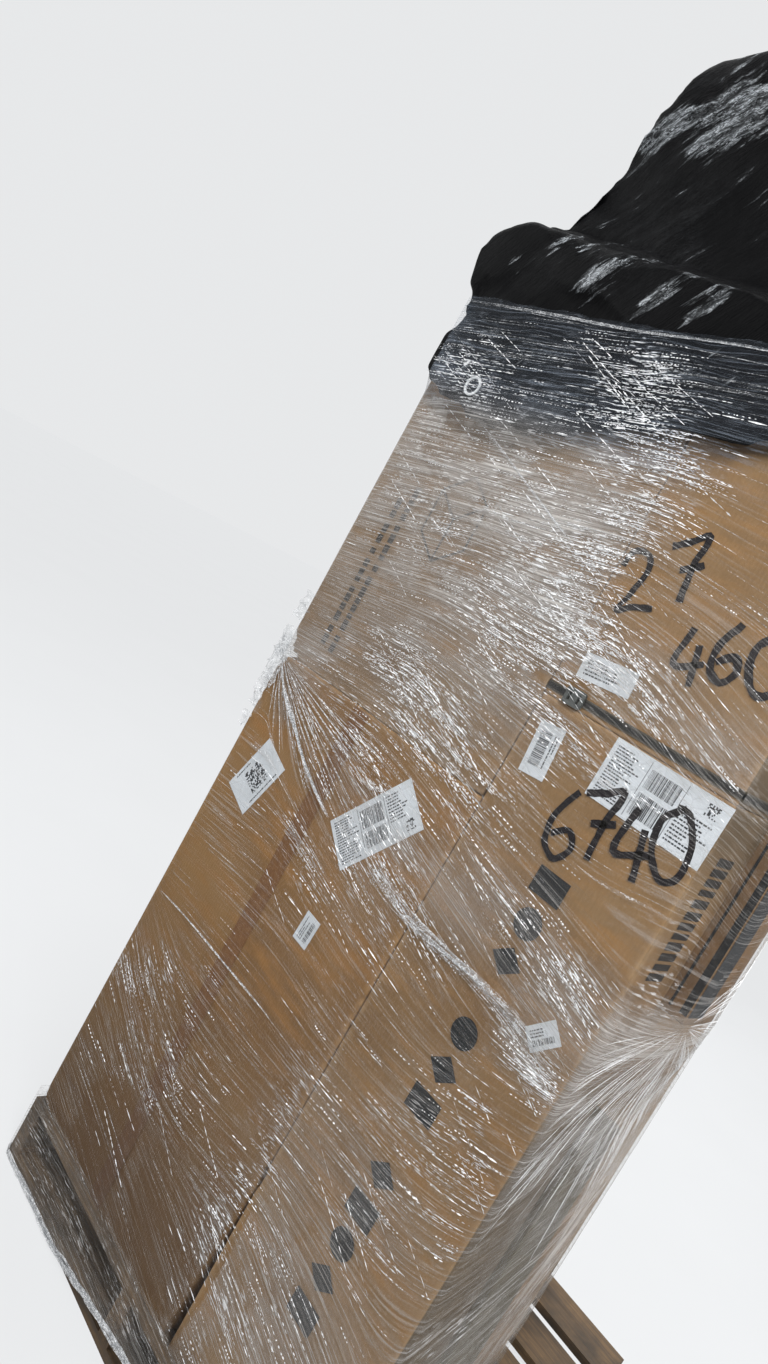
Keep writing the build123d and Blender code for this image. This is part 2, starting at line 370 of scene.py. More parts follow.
def bag_finish():
    """Black polythene: nearly black and glossy, with painted whitish highlights on its crumples in
    clusters and faint painted sheen elsewhere.
    """
    bag = Finish("black_polythene")
    place = bag.place()
    pull = bag.turned(place, -bag_pull, about="Y")
    crumple = bag.painted("crumple")
    fine = bag.streaks(pull, (150, 100, 46), detail=4, roughness=0.62, distortion=1.3)
    drawn = bag.streaks(pull, (52, 34, 8), (4, 1, 2), detail=5, roughness=0.62, distortion=0.5)
    grain = bag.cloud(place, 330, detail=3)
    soft = bag.cloud(place, 9, detail=4)
    ridge = bag.spread(bag.maths("ABSOLUTE", fine - 0.5), 0.040, 0.0)
    folds = bag.streaks(pull, (80, 55, 17), (7, 3, 1), detail=4, roughness=0.6)
    streak = bag.spread(drawn, 0.50, 0.62)
    # Painted highlights: whitish along the ridges where the bag is crumpled
    painted_sheen_mask = bag.spread(crumple * 0.80 + (drawn - 0.5) * 2.6, 0.40, 0.62)
    lit = painted_sheen_mask * (0.03 + 1.0 * ridge + 0.20 * streak) * bag.spread(grain, 0.36, 0.58, 0.35, 1.15)
    lit = lit * bag.spread(folds, 0.43, 0.55, 0.22, 1.2)
    # Faint painted sheen on ridges and streaks elsewhere, with small grey specks
    sheen_patches = bag.spread(bag.cloud(place, 5, detail=3), 0.42, 0.62)
    faint = sheen_patches * (ridge * 0.16 + streak * 0.10) + bag.spread(grain, 0.60, 0.8) * 0.05
    colour = bag.blend(bag.clamp(faint), shade(4, 4, 5), shade(66, 67, 69))
    colour = bag.blend(bag.clamp(lit), colour, shade(188, 194, 199))
    height = drawn * 1.3 + soft * 1.2 + fine * (0.45 + 0.8 * crumple)
    return bag.surface(Base_Color=colour, Roughness=bag.spread(soft, 0.35, 0.7, 0.40, 0.58),
                       Coat_Weight=bag.clamp(lit * 0.6), Coat_Roughness=0.2,
                       Normal=bag.bump(height, 0.8, 0.004), Specular_IOR_Level=0.05,
                       IOR=plastic_ior)


def wood_finish(name, along):
    """Rough sawn pallet wood, greyed and dirty, with grain along the board."""
    wood = Finish(name)
    place = wood.place()
    stretch = {"X": (0.05, 1, 1), "Y": (1, 0.05, 1)}[along]
    grain = wood.cloud(wood.stretched(place, stretch), 120, detail=5, roughness=0.7, distortion=0.6)
    rings = wood.cloud(wood.stretched(place, stretch), 26, detail=3, distortion=1.4)
    saw = wood.cloud(wood.stretched(place, (1, 1, 0.2)), 300, detail=2)
    dirt = wood.cloud(place, 7, detail=5, roughness=0.65)
    colour = wood.blend(wood.spread(grain, 0.3, 0.72), shade(62, 49, 36), shade(122, 98, 70))
    colour = wood.blend(wood.spread(rings, 0.52, 0.66) * 0.6, colour, shade(50, 38, 27))
    colour = wood.blend(wood.spread(dirt, 0.42, 0.68) * 0.75, colour, shade(42, 38, 34))
    bump = wood.bump(grain * 1.2 + saw * 0.5, 0.6, 0.0012)
    return wood.surface(Base_Color=colour, Roughness=wood.spread(grain, 0.3, 0.7, 0.70, 0.92),
                        Normal=bump)


def plastic_finish(name, tone, roughness):
    """Moulded or drawn plastic with fine scratches."""
    plastic = Finish(name)
    place = plastic.place()
    scratches = plastic.streaks(place, (30, 300, 300), detail=4, roughness=0.7)
    dust = plastic.cloud(place, 120, detail=3)
    worn = plastic.spread(scratches, 0.52, 0.74) * 0.5 + plastic.spread(dust, 0.5, 0.7) * 0.25
    colour = plastic.blend(plastic.clamp(worn), shade(*tone),
                           shade(*(min(level * 1.6 + 22, 235) for level in tone)))
    return plastic.surface(Base_Color=colour,
                           Roughness=plastic.spread(dust, 0.3, 0.7, roughness, roughness + 0.2),
                           Normal=plastic.bump(scratches, 0.3, 0.0004))


def strap_finish():
    """Ribbed strapping: dark along its middle, greyer at both edges."""
    strap = Finish("strap_plastic")
    place = strap.place()
    middle = sum(corner.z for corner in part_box("strap_band")) / 2
    edge = strap.spread(strap.maths("ABSOLUTE", strap.axis(place, "Z") - middle), 0.0030, 0.0062)
    ribs = strap.maths("SINE", strap.axis(place, "Z") * (2 * math.pi / strap_rib_pitch))
    scratches = strap.streaks(place, (20, 20, 500), detail=4, roughness=0.7)
    colour = strap.blend(edge, shade(13, 14, 14), shade(70, 65, 56))
    colour = strap.blend(strap.spread(scratches, 0.56, 0.74) * 0.25, colour, shade(90, 92, 88))
    return strap.surface(Base_Color=colour, Roughness=strap.spread(scratches, 0.3, 0.7, 0.30, 0.5),
                         Specular_IOR_Level=0.25, Normal=strap.bump(ribs * 0.3 + scratches, 0.2, 0.0003))


def ink_finish(name, tone, patchiness):
    """Ink on kraft board: it lets fibres through where it is thin."""
    ink = Finish(name)
    place = ink.place()
    thin = ink.cloud(place, 240, detail=4, roughness=0.7)
    colour = ink.blend(ink.spread(thin, 0.56, 0.78) * patchiness, shade(*tone), shade(122, 98, 72))
    return ink.surface(Base_Color=colour, Roughness=0.55, Specular_IOR_Level=0.15,
                       Normal=ink.bump(thin, 0.15, 0.0003))


def paper_finish(name):
    """White label paper, a little yellowed and creased, with painted shade along its creases."""
    paper = Finish(name)
    place = paper.place()
    cloudy = paper.cloud(place, 18, detail=4)
    crease = paper.cracks(place, 34)
    fibres = paper.cloud(place, 700, detail=2)
    colour = paper.blend(paper.spread(cloudy, 0.35, 0.7), shade(216, 221, 226), shade(200, 205, 209))
    # Painted shade in the creases
    colour = paper.blend(paper.spread(crease, 0.03, 0.0) * 0.3, colour, shade(160, 164, 168))
    return paper.surface(Base_Color=colour, Roughness=0.5,
                         Normal=paper.bump(paper.spread(crease, 0.0, 0.08) + fibres * 0.2, 0.4, 0.0005))


def tape_finish(name):
    """Brown parcel tape: a shade darker than the board, with a slight gloss, and painted shade towards its
    foot.
    """
    tape = Finish(name)
    place = tape.place()
    lines = tape.streaks(place, (500, 500, 12), detail=2)
    bubbles = tape.cloud(place, 90, detail=3)
    colour = tape.blend(tape.spread(bubbles, 0.4, 0.66), shade(112, 76, 44), shade(124, 87, 52))
    colour = tape.blend(tape.spread(lines, 0.55, 0.7) * 0.3, colour, shade(122, 92, 60))
    # Painted shade: the tape darkens towards the deck
    low_down = tape.spread(tape.axis(place, "Z"), 0.72, 0.22)
    colour = tape.blend(low_down * 0.62, colour, shade(58, 42, 30))
    return tape.surface(Base_Color=colour, Roughness=tape.spread(bubbles, 0.3, 0.7, 0.28, 0.42),
                        Specular_IOR_Level=0.15,
                        Normal=tape.bump(bubbles + lines * 0.4, 0.3, 0.0006))


# Mesh building
def add_mesh(name, points, faces, finish, layers=None, numbers=None, smooth=True):
    """Makes a piece from points in metres. layers are UV sets and numbers are values on the points."""
    mesh = bpy.data.meshes.new(name)
    mesh.from_pydata(points, [], faces)
    for layer, values in (layers or {}).items():
        uv = mesh.uv_layers.new(name=layer)
        corners = [0] * len(mesh.loops)
        mesh.loops.foreach_get("vertex_index", corners)
        uv.data.foreach_set("uv", [part for corner in corners for part in values[corner]])
    for layer, values in (numbers or {}).items():
        mesh.attributes.new(layer, "FLOAT", "POINT").data.foreach_set("value", values)
    if smooth:
        mesh.polygons.foreach_set("use_smooth", [True] * len(mesh.polygons))
    mesh.update()
    piece = added(name, mesh)
    mesh.materials.append(finish)
    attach(piece, "root")
    return piece


def grid_faces(rows, columns, first=0):
    """Quads of a grid whose points are stored row by row."""
    return [(first + r * columns + c, first + r * columns + c + 1,
             first + (r + 1) * columns + c + 1, first + (r + 1) * columns + c)
            for r in range(rows - 1) for c in range(columns - 1)]


def spaced(low, high, step, extra):
    """Places from low to high about one step apart, with some extra places kept among them."""
    count = max(2, round((high - low) / step))
    places = {round(low + (high - low) * i / count, 3) for i in range(count + 1)}
    for place in extra:
        places = {p for p in places if abs(p - place) > step * 0.12 or p in (low, high)}
    return sorted(places | {round(place, 3) for place in extra if low < place < high})


class Carton:
    """A carton's board shape: rounded edges, gently drawn-in panels, seams and crushed corners."""

    edge_radius = 3.5
    seam_depth = 2.2
    seam_half_width = 1.1
    # Reach of a panel's stiff margin, of worn edges and of a gape, and the rings of a crush
    stiff_margin = 70
    crush_rings = 7
    worn_reach = (1.5, 16)
    gape_reach = 90
    # Painted shade is darkest at the deck and fades out over its reach above it
    most_low_shade = 0.95

    def __init__(self, node, step, seam=None, slack=1.6, crushes=(), gape=None, dusk=((0, 0),),
                 grime_reach=90):
        low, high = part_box(node)
        self.node = node
        self.low = low / MM
        self.high = high / MM
        self.step = step
        self.seam = seam
        self.slack = slack
        self.crushes = crushes
        self.gape = gape
        self.dusk = dusk
        self.grime_reach = grime_reach
        self.phase = sum(ord(letter) for letter in node) * 0.37

    def panel_dip(self, x, z):
        """How far the front and back panels are drawn in at a place, in millimetres."""
        edge = min(x - self.low.x, self.high.x - x, z - self.low.z, self.high.z - z)
        fade = smooth_step(0, self.stiff_margin, edge)
        wave = 0.5 + 0.5 * ripple(x / 210 + self.phase, z / 260, self.phase)
        fine = 0.5 + 0.5 * ripple(x / 60, z / 75 + self.phase, 3.1)
        return self.slack * fade * (0.75 * wave + 0.25 * fine)

    def seam_dip(self, value):
        """Depth of the flap seam at a place across it."""
        return self.seam_depth if abs(value - self.seam[1]) < 0.01 else 0.0

    def crushed(self, point):
        """Moves a point of the shell in towards the carton near each crushed corner."""
        middle = (self.low + self.high) / 2
        if self.gape:
            side, height, amount = self.gape
            edge = self.high.x if side > 0 else self.low.x
            near = smooth_step(self.gape_reach, 0, abs(point.x - edge))
            near *= smooth_step(height, -20, point.z - self.low.z)
            point = point - Vector((side * amount * near, 0, 0))
        for place, radius, depth in self.crushes:
            away = (point - Vector(place)).length
            if away < radius:
                amount = depth * (1 - smooth_step(0, radius, away))
                crumple = 0.72 + 0.5 * ripple(point.x / 14, point.y / 14, point.z / 14)
                inward = Vector((middle.x - point.x, (middle.y - point.y) * 0.7, middle.z - point.z))
                point = point + inward.normalized() * amount * max(crumple, 0.1)
        return point

    def moved(self, x, y, z):
        """Place on the finished shell of a point of the plain box."""
        low, high, radius = self.low, self.high, self.edge_radius
        core = Vector((min(max(x, low.x + radius), high.x - radius),
                       min(max(y, low.y + radius), high.y - radius),
                       min(max(z, low.z + radius), high.z - radius)))
        out = Vector((x, y, z)) - core
        point = core + out.normalized() * radius
        if y in (low.y, high.y):
            inward = 1 if y == low.y else -1
            point.y += inward * self.panel_dip(x, z)
            if self.seam and self.seam[0] == "front":
                point.y += inward * self.seam_dip(x)
        if x in (low.x, high.x):
            inward = 1 if x == low.x else -1
            point.x += inward * 0.6 * self.slack * (0.5 + 0.5 * ripple(y / 90, z / 160, self.phase))
        if z in (low.z, high.z):
            inward = 1 if z == low.z else -1
            if self.seam and self.seam[0] == "top":
                point.z += inward * self.seam_dip(y)
        return self.crushed(point)

    def build(self, finish):
        """Meshes the six sides of the box, each finer at its edges, seam and crushes."""
        low, high, radius = self.low, self.high, self.edge_radius
        near = (0, radius * 0.4, radius)
        extras = {"x": [], "y": [], "z": []}
        for axis in "xyz":
            floor, ceiling = getattr(low, axis), getattr(high, axis)
            extras[axis] = [floor + d for d in near] + [ceiling - d for d in near]
        if self.seam:
            axis = {"front": "x", "top": "y"}[self.seam[0]]
            place = self.seam[1]
            extras[axis] += [place - self.seam_half_width, place, place + self.seam_half_width]
        for place, reach, _ in self.crushes:
            for axis, centre in zip("xyz", place):
                floor, ceiling = getattr(low, axis), getattr(high, axis)
                spots = [centre + reach * k / self.crush_rings
                         for k in range(-self.crush_rings, self.crush_rings + 1)]
                extras[axis] += [s for s in spots if floor + radius < s < ceiling - radius]
        xs, ys, zs = (sorted({getattr(low, a), getattr(high, a)}
                             | set(spaced(getattr(low, a), getattr(high, a), self.step, extras[a])[1:-1]))
                      for a in "xyz")
        points, index, wear, grime, dusk, faces = [], {}, [], [], [], []

        def corner(i, j, k):
            if (i, j, k) not in index:
                x, y, z = xs[i], ys[j], zs[k]
                index[(i, j, k)] = len(points)
                points.append(self.moved(x, y, z) * MM)
                gaps = sorted((min(x - low.x, high.x - x), min(y - low.y, high.y - y),
                               min(z - low.z, high.z - z)))
                wear.append(1 - smooth_step(*self.worn_reach, gaps[1]))
                # Painted shade: darker towards the deck, and on the right side by height
                grime.append(self.most_low_shade * (1 - smooth_step(0, self.grime_reach, z - deck_top)))
                dusk.append(broken_line(self.dusk, z - deck_top) if x == high.x else 0.0)
            return index[(i, j, k)]

        last = (len(xs) - 1, len(ys) - 1, len(zs) - 1)
        over = ((0, 0), (1, 0), (1, 1), (0, 1))
        back = ((0, 0), (0, 1), (1, 1), (1, 0))
        # Each pair of opposite sides: the two axes along it, the one across it, and both turns
        for first, second, across, turns in ((0, 1, 2, (back, over)), (0, 2, 1, (over, back)),
                                             (1, 2, 0, (back, over))):
            for i in range(last[first]):
                for j in range(last[second]):
                    for end, turn in zip((0, last[across]), turns):
                        face = []
                        for more_i, more_j in turn:
                            spot = {first: i + more_i, second: j + more_j, across: end}
                            face.append(corner(spot[0], spot[1], spot[2]))
                        faces.append(face)
        piece = add_mesh(self.node.replace("carton", "box"), points, faces, finish,
                         numbers={"wear": wear, "grime": grime, "dusk": dusk})
        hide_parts(self.node)


# Cartons
kraft_tones = {
    "warm": (141, 108, 68),
    "plain": (140, 112, 78),
    "grey": (134, 111, 84),
    "olive": (74, 66, 48),
    "dark": (112, 88, 62),
}
tape_seam = 293.0
back_carton_tones = ("warm", "plain", "grey")
# The second row's right cartons take the darkest tones: painted shade, as they stand set back behind the
# front row
second_row_tones = {"carton_second_right_bottom": "olive", "carton_second_right_upper": "dark"}
# How much painted shade lies on the right side of the front row at each height
side_dusk = ((0, 0.85), (780, 0.80), (900, 0.45), (1080, 0.15), (1240, 0.30), (1330, 0.75), (1500, 0.8))


def front_place(along, up):
    """A place on the load's front in the frame, in millimetres."""
    return (load_left + along, load_front, deck_top + up)


def make_cartons():
    """Builds every carton over its own node."""
    finishes = {key: kraft_finish("kraft_" + key, tone, "Y" if key == "olive" else "X")
                for key, tone in kraft_tones.items()}

    def add(node, tone, **shape):
        Carton(node, **shape).build(finishes[tone])

    # The painted shade of the lower left carton reaches far up it
    add("carton_front_lower_left", "warm", step=14, seam=("front", load_left + tape_seam),
        crushes=((front_place(left_width, 380), 40, 10), (front_place(left_width, 0), 60, 14),
                 (front_place(0, 0), 42, 12), (front_place(0, left_seam), 60, 17)),
        gape=(1, 420, 15), grime_reach=760)
    add("carton_front_lower_right", "plain", step=14,
        crushes=((front_place(left_width + 2, 375), 34, 8), (front_place(front_width, 0), 46, 12)),
        gape=(-1, 380, 5), dusk=side_dusk)
    add("carton_front_upper_left", "grey", step=14,
        crushes=((front_place(0, left_seam), 62, 26), (front_place(left_width, left_seam), 30, 7)))
    add("carton_front_upper_right", "plain", step=14, dusk=side_dusk)
    for node in sorted(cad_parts):
        if node.startswith("carton_second"):
            add(node, second_row_tones.get(node, "plain"), step=22)
        elif node.startswith("carton_third") or node.startswith("carton_fourth"):
            low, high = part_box(node)
            seam = ("top", round((low.y + high.y) / 2 / MM, 1))
            add(node, draws.choice(back_carton_tones), step=30, seam=seam, slack=2.2)


# Film
wrap_gap = 4.0
skirt_thickness = 25.0
skirt_edge = ((-10, 1817), (74, 1769), (165, 1748), (310, 1739), (453, 1781), (609, 1838),
              (763, 1850), (1000, 1852))
wrap_top_edge = ((-10, 1984), (239, 1989), (447, 1994), (662, 2006), (1000, 2004))
buckle_along = 684.0
buckle_up = 1398.0

# Lean of the film's drawn lines in degrees at places (along, up) of the front
drawn_leans = (
    (110, 280, -24), (40, 480, -30), (150, 735, 6), (60, 660, 6), (100, 200, -10),
    (255, 584, 0), (470, 785, -8), (250, 700, 3), (250, 40, -14), (515, 343, 10),
    (560, 130, -14), (211, 1465, 8), (300, 1750, 4), (570, 1601, 7), (495, 1407, -3),
    (230, 1260, 4), (485, 1215, -12), (560, 1040, -14), (500, 1960, 3), (500, 1860, 6), (900, 1900, 2),
    (750, 1640, -10), (900, 1480, -22), (915, 1065, -16), (740, 960, -14), (930, 725, 14),
    (780, 560, 2), (750, 210, -16), (960, 1190, 12), (930, 300, -18),
    (1080, 120, 40), (1080, 400, 42), (1080, 650, 38), (1200, 300, 42), (1200, 800, 40),
    (1080, 1250, -22), (1080, 1600, -14), (1220, 1300, 22), (1400, 1500, 9), (1400, 900, 14),
    (1400, 400, 16), (1750, 300, 3), (1750, 900, -4), (1750, 1600, 2),
)
fan_along = 2.0
fan_up = 1162.0
# How far the fan's pleats reach at each turn from level, in radians
fan_reaches = ((-1.2, 110), (-0.95, 190), (-0.75, 270), (-0.6, 360), (-0.4, 470), (-0.2, 420))
pleat_depth = 13.0
buckle_bulge = 4.5
# The table of drawn lines: its step, its middle column, its columns to each side and its rows
flow_step = 10.0
flow_middle = 50
flow_left = 52
flow_right = 149
flow_lowest = -300.0
flow_rows = 260
# Reach of one known lean, as a squared distance, and the steepest slopes that are drawn
lean_reach = 24000
lean_floor = 0.16
steepest = (-60, 40)


def fan_share(along, up):
    """(share, turn, distance) of a place in the fan of pleats that spreads from the crushed corner."""
    east = along - fan_along
    north = up - fan_up
    away = math.hypot(east, north)
    turn = math.atan2(north, max(east, 0.001))
    wedge = smooth_step(-1.35, -1.05, turn) * (1 - smooth_step(-0.22, -0.02, turn))
    return wedge * math.exp(-(away / broken_line(fan_reaches, turn)) ** 2), turn, away


def pull_slope(along, up):
    """Slope of the film's drawn lines at a place of the front."""
    total = lean = 0.0
    for place, height, degrees in drawn_leans:
        near = ((along - place) ** 2 + (up - height) ** 2) / lean_reach + lean_floor
        total += near ** -2
        lean += degrees * near ** -2
    lean /= total
    share, turn, _ = fan_share(along, up)
    lean += (math.degrees(turn) - lean) * min(1.0, share * 1.8)
    return math.tan(math.radians(min(max(lean, steepest[0]), steepest[1])))


def between(line, height):
    """Value of a column of the flow table at a height."""
    place = min(max((height - flow_lowest) / flow_step, 0), len(line) - 1.001)
    first = int(place)
    return line[first] + (line[first + 1] - line[first]) * (place - first)


def traced_flow():
    """For every column of the front, the height at mid width of the drawn line through each place."""
    heights = [flow_lowest + flow_step * row for row in range(flow_rows)]
    table = {flow_middle: heights}
    for way, reach in ((-1, flow_left), (1, flow_right)):
        line = heights
        for count in range(1, reach + 1):
            column = flow_middle + way * count
            along = (column - way * 0.5) * flow_step
            line = [between(line, up - way * flow_step * pull_slope(along, up)) for up in heights]
            table[column] = line
    return table


flow_table = traced_flow()


def front_flow(along, up):
    """Names the drawn line through a place, by its height at mid width."""
    place = min(max(along / flow_step, flow_middle - flow_left), flow_middle + flow_right - 0.001)
    first = math.floor(place)
    left = between(flow_table[first], up)
    return left + (between(flow_table[first + 1], up) - left) * (place - first)


def front_film_gap(along, up):
    """How far the film stands off the cartons at the load's front."""
    gap = wrap_gap
    over_skirt = smooth_step(-34, 16, up - broken_line(skirt_edge, along))
    gap += (skirt_thickness - wrap_gap + 1.4) * over_skirt
    away = math.hypot(along - buckle_along, up - buckle_up - 2)
    gap += buckle_bulge * (1 - smooth_step(18, 60, away))
    lines = front_flow(along, up)
    broad = 1.2 * abs(ripple(along / 260, lines / 26, 0.7))
    gap += broad + 0.8 * abs(ripple(along / 120, lines / 9, 5.2))
    share, turn, reach = fan_share(along, up)
    pleat = abs(ripple(turn * 8.5, reach / 420, 2.5)) + 0.5 * abs(ripple(turn * 21, reach / 300, 7.1))
    gap += pleat_depth * min(share * 1.3, 1) * smooth_step(0, 90, reach) * pleat
    return gap


class Patch:
    """An oval area of the front, where the film is milkier or clearer or glints more."""

    def __init__(self, amount, along, up, half_along, half_up, tilt=0.0, crisp=False):
        self.amount = amount
        self.along = along
        self.up = up
        self.half_along = half_along
        self.half_up = half_up
        self.tilt = math.radians(tilt)
        self.crisp = crisp

    def cover(self, along, up):
        """How much of the patch lies over a place, from 0 to 1."""
        east = along - self.along
        north = up - self.up
        x = (east * math.cos(self.tilt) + north * math.sin(self.tilt)) / self.half_along
        y = (north * math.cos(self.tilt) - east * math.sin(self.tilt)) / self.half_up
        if self.crisp:
            uneven = 0.16 * ripple(along / 40, up / 30, 2.0)
            return 1 - smooth_step(0.86, 1.06, math.hypot(x, y) + uneven)
        return math.exp(-(x * x + y * y))


def patches(*rows):
    """Patches from rows of their amount, place, half sizes, tilt in degrees and crispness."""
    return [Patch(*row) for row in rows]


milky_patches = patches(
    (0.46, 240, 1570, 380, 200),
    (0.38, 150, 1740, 280, 80),
    (0.26, 560, 1540, 90, 200),
    (0.22, 420, 1640, 160, 110, -20),
    (0.22, 250, 1300, 300, 90),
    (0.26, 880, 1450, 150, 60, -12),
    (0.30, 880, 1010, 200, 60, -15),
    (0.26, 600, 1000, 200, 40, -8),
    (0.10, 480, 900, 120, 70),
    (0.24, 780, 170, 260, 120, 12),
    (0.18, 800, 430, 220, 230),
    (0.30, 80, 1190, 90, 50),
    (0.25, 0, 1890, 60, 90),
    (0.36, 925, 885, 60, 34, -14),
    (0.26, 420, 1770, 260, 26, 4),
)
clear_patches = patches(
    (0.85, 845, 1745, 165, 118, -6, True),
    (0.75, 330, 640, 300, 42, -3, True),
    (0.25, 860, 540, 190, 150, 20, True),
    (0.6, 90, 640, 110, 90, -30, True),
    (0.7, 500, 110, 150, 90, -10, True),
    (0.7, 905, 1110, 60, 38, -30, True),
    (0.8, 790, 1250, 90, 50, 0, True),
    (0.55, 930, 820, 60, 50, 20, True),
    (0.75, 230, 120, 120, 110, 60, True),
    (0.5, 690, 720, 60, 120, 0, True),
    (0.97, 630, 180, 20, 210, 0, True),
    (0.85, 800, 1392, 230, 15, 0, True),
    (0.9, buckle_along, buckle_up, 34, 28, 0, True),
    (0.85, 700, 1612, 115, 84, 27),
    (0.7, 880, 1490, 130, 60, 22),
    (0.5, 850, 1190, 120, 60, 22),
    (0.6, 260, 820, 230, 60, -20),
    (0.75, 816, 1000, 60, 110),
    (0.5, 110, 1400, 42, 190),
    (0.35, 250, 1570, 95, 105),
)
glinting_patches = patches(
    (1.3, 590, 1650, 60, 130),
    (1.1, 530, 1440, 140, 70, -10),
    (1.5, 430, 1225, 190, 60, -14),
    (0.8, 350, 1095, 190, 36, -22),
    (0.5, 170, 1085, 110, 36, -32),
    (0.6, 420, 980, 90, 30, -24),
    (1.2, 490, 1890, 110, 60, -36),
    (1.1, 600, 1790, 110, 40, -14),
    (0.9, 90, 1850, 80, 50),
    (1.0, 720, 1470, 200, 50, -20),
    (0.9, 870, 1030, 170, 45, -14),
    (0.8, 560, 930, 130, 60, -12),
    (0.5, 585, 500, 40, 190),
    (0.7, 60, 420, 50, 170, -60),
    (0.8, 640, 200, 110, 130),
    (0.5, 900, 700, 90, 110),
    (0.3, 850, 560, 120, 110, -20),
    (1.7, 925, 885, 62, 34, -14),
    (0.5, 330, 860, 120, 40, -10),
    (0.35, 250, 300, 120, 160, -60),
    (0.6, 700, 1330, 120, 40, -14),
    (0.34, 280, 1620, 300, 220),
)


# Least haze and glints of the front, and how far the skirt and the clear patches take them away
least_milk = 0.02
skirt_clearing = 0.55
least_sparkle = 0.06
sparkle_clearing = 0.85


def front_milk(along, up):
    """Haze of the front film: thinner over the bag's skirt and where the film clings."""
    milk = least_milk + sum(patch.amount * patch.cover(along, up) for patch in milky_patches)
    over_skirt = smooth_step(-20, 20, up - broken_line(skirt_edge, along))
    milk *= 1 - skirt_clearing * over_skirt
    for patch in clear_patches:
        milk *= 1 - patch.amount * patch.cover(along, up)
    return milk


def front_sparkle(along, up):
    """How thickly the front film is set with bright creases and painted glints."""
    sparkle = least_sparkle + sum(patch.amount * patch.cover(along, up) for patch in glinting_patches)
    for patch in clear_patches:
        sparkle *= 1 - sparkle_clearing * patch.amount * patch.cover(along, up)
    return sparkle


# Plan of the wrap, anticlockwise from the front left corner
second_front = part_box("carton_second_right_upper")[0].y / MM
second_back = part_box("carton_second_right_upper")[1].y / MM
upper_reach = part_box("carton_second_right_upper")[1].x / MM
lower_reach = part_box("carton_second_right_bottom")[1].x / MM
upper_reach_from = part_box("carton_second_right_upper")[0].z / MM - deck_top
lower_reach_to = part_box("carton_second_right_bottom")[1].z / MM - deck_top
third_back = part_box("carton_third_right_low")[1].y / MM
third_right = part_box("carton_third_right_low")[1].x / MM
fourth_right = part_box("carton_fourth_right_low")[1].x / MM


def side_reach(up):
    """How far right the wrap stands at the second row, which is narrower low down."""
    return lower_reach + (upper_reach - lower_reach) * smooth_step(lower_reach_to, upper_reach_from, up)


def wrap_corners(up):
    """Corners of the wrap's plan at a height, in millimetres in the frame."""
    reach = side_reach(up)
    return ((load_left, load_front), (load_right, load_front), (reach, second_front),
            (reach, second_back), (third_right + 3, third_back), (fourth_right, load_back),
            (load_left, load_back))


# Column steps of the wrap's sides: front, corner, three on the right, back and left
column_steps = (5.5, 8.0, 9.0, 16.0, 18.0, 26.0, 24.0)
left_side = 6
corner_inset = 5.0
corner_tuck = 9.0
wrap_rows = 246
film_top_margin = 8.0
# The sway of the drawn lines just over the bag's skirt: its height and where it sets in
skirt_sway = 10.0
skirt_sway_from = (1830, 1900)
# Where the film's lines on the right side run together
knot_along = 1160.0
knot_up = upper_reach_from
# Haze of the right side: all over, round the knot and beyond it, and what clears it
side_haze = 0.17
knot_haze = 0.36
knot_haze_reach = 300
outer_haze = 0.20
inner_clearing = 0.90
low_clearing = 0.45


def wrap_columns():
    """Each column of the wrap as (side, part of the side)."""
    corners = wrap_corners(upper_reach_from)
    columns = []
    for side, step in enumerate(column_steps):
        start = Vector(corners[side])
        end = Vector(corners[(side + 1) % len(corners)])
        length = (end - start).length
        count = max(3, round(length / step))
        inset = corner_inset / length
        for i in range(count + 1):
            columns.append((side, inset + (1 - 2 * inset) * i / count))
    return columns


def side_flow(along, up):
    """Drawn lines of the other sides: traced on from the front, then level with a slight sway."""
    return front_flow(along, up) + 16 * math.sin(along / 190) * smooth_step(1700, 2100, along)


def side_milk(side, along, up):
    """Haze of the other sides. It is thick round the knot and thin over the upper back carton."""
    milk = side_haze + 0.10 * ripple(along / 260, up / 170, 4)
    if side > 4:
        return milk
    away = math.hypot(along - knot_along, up - knot_up)
    below = 1 - smooth_step(knot_up - 40, knot_up + 60, up + 0.3 * (along - knot_along))
    milk += knot_haze * math.exp(-(away / knot_haze_reach) ** 2) * below
    outer = smooth_step(knot_along + 70, knot_along + 160, along)
    milk += outer_haze * outer * (1 - smooth_step(1500, 1800, along))
    inner = 1 - smooth_step(knot_along + 60, knot_along + 120, along)
    milk *= 1 - inner_clearing * inner * smooth_step(knot_up - 30, knot_up + 40, up)
    low_down = 1 - smooth_step(600, 780, up)
    return milk * (1 - low_clearing * low_down * (1 - smooth_step(1060, 1110, along)))


def side_film_gap(side, along, up):
    """Stand-off of the film on the other sides: tight on cartons, with soft folds along the pull."""
    lines = side_flow(along, up)
    gap = wrap_gap + 1.6 * abs(ripple(along / 300, lines / 40, side * 3.7))
    gap += 1.0 * abs(ripple(along / 150, lines / 14, side + 9.1))
    if side == left_side:
        gap += 3.0 * smooth_step(1780, 1840, up)
    return gap


wrap_plan = wrap_corners(upper_reach_from)
wrap_lengths = [(Vector(end) - Vector(start)).length
                for start, end in zip(wrap_plan, wrap_plan[1:] + wrap_plan[:1])]


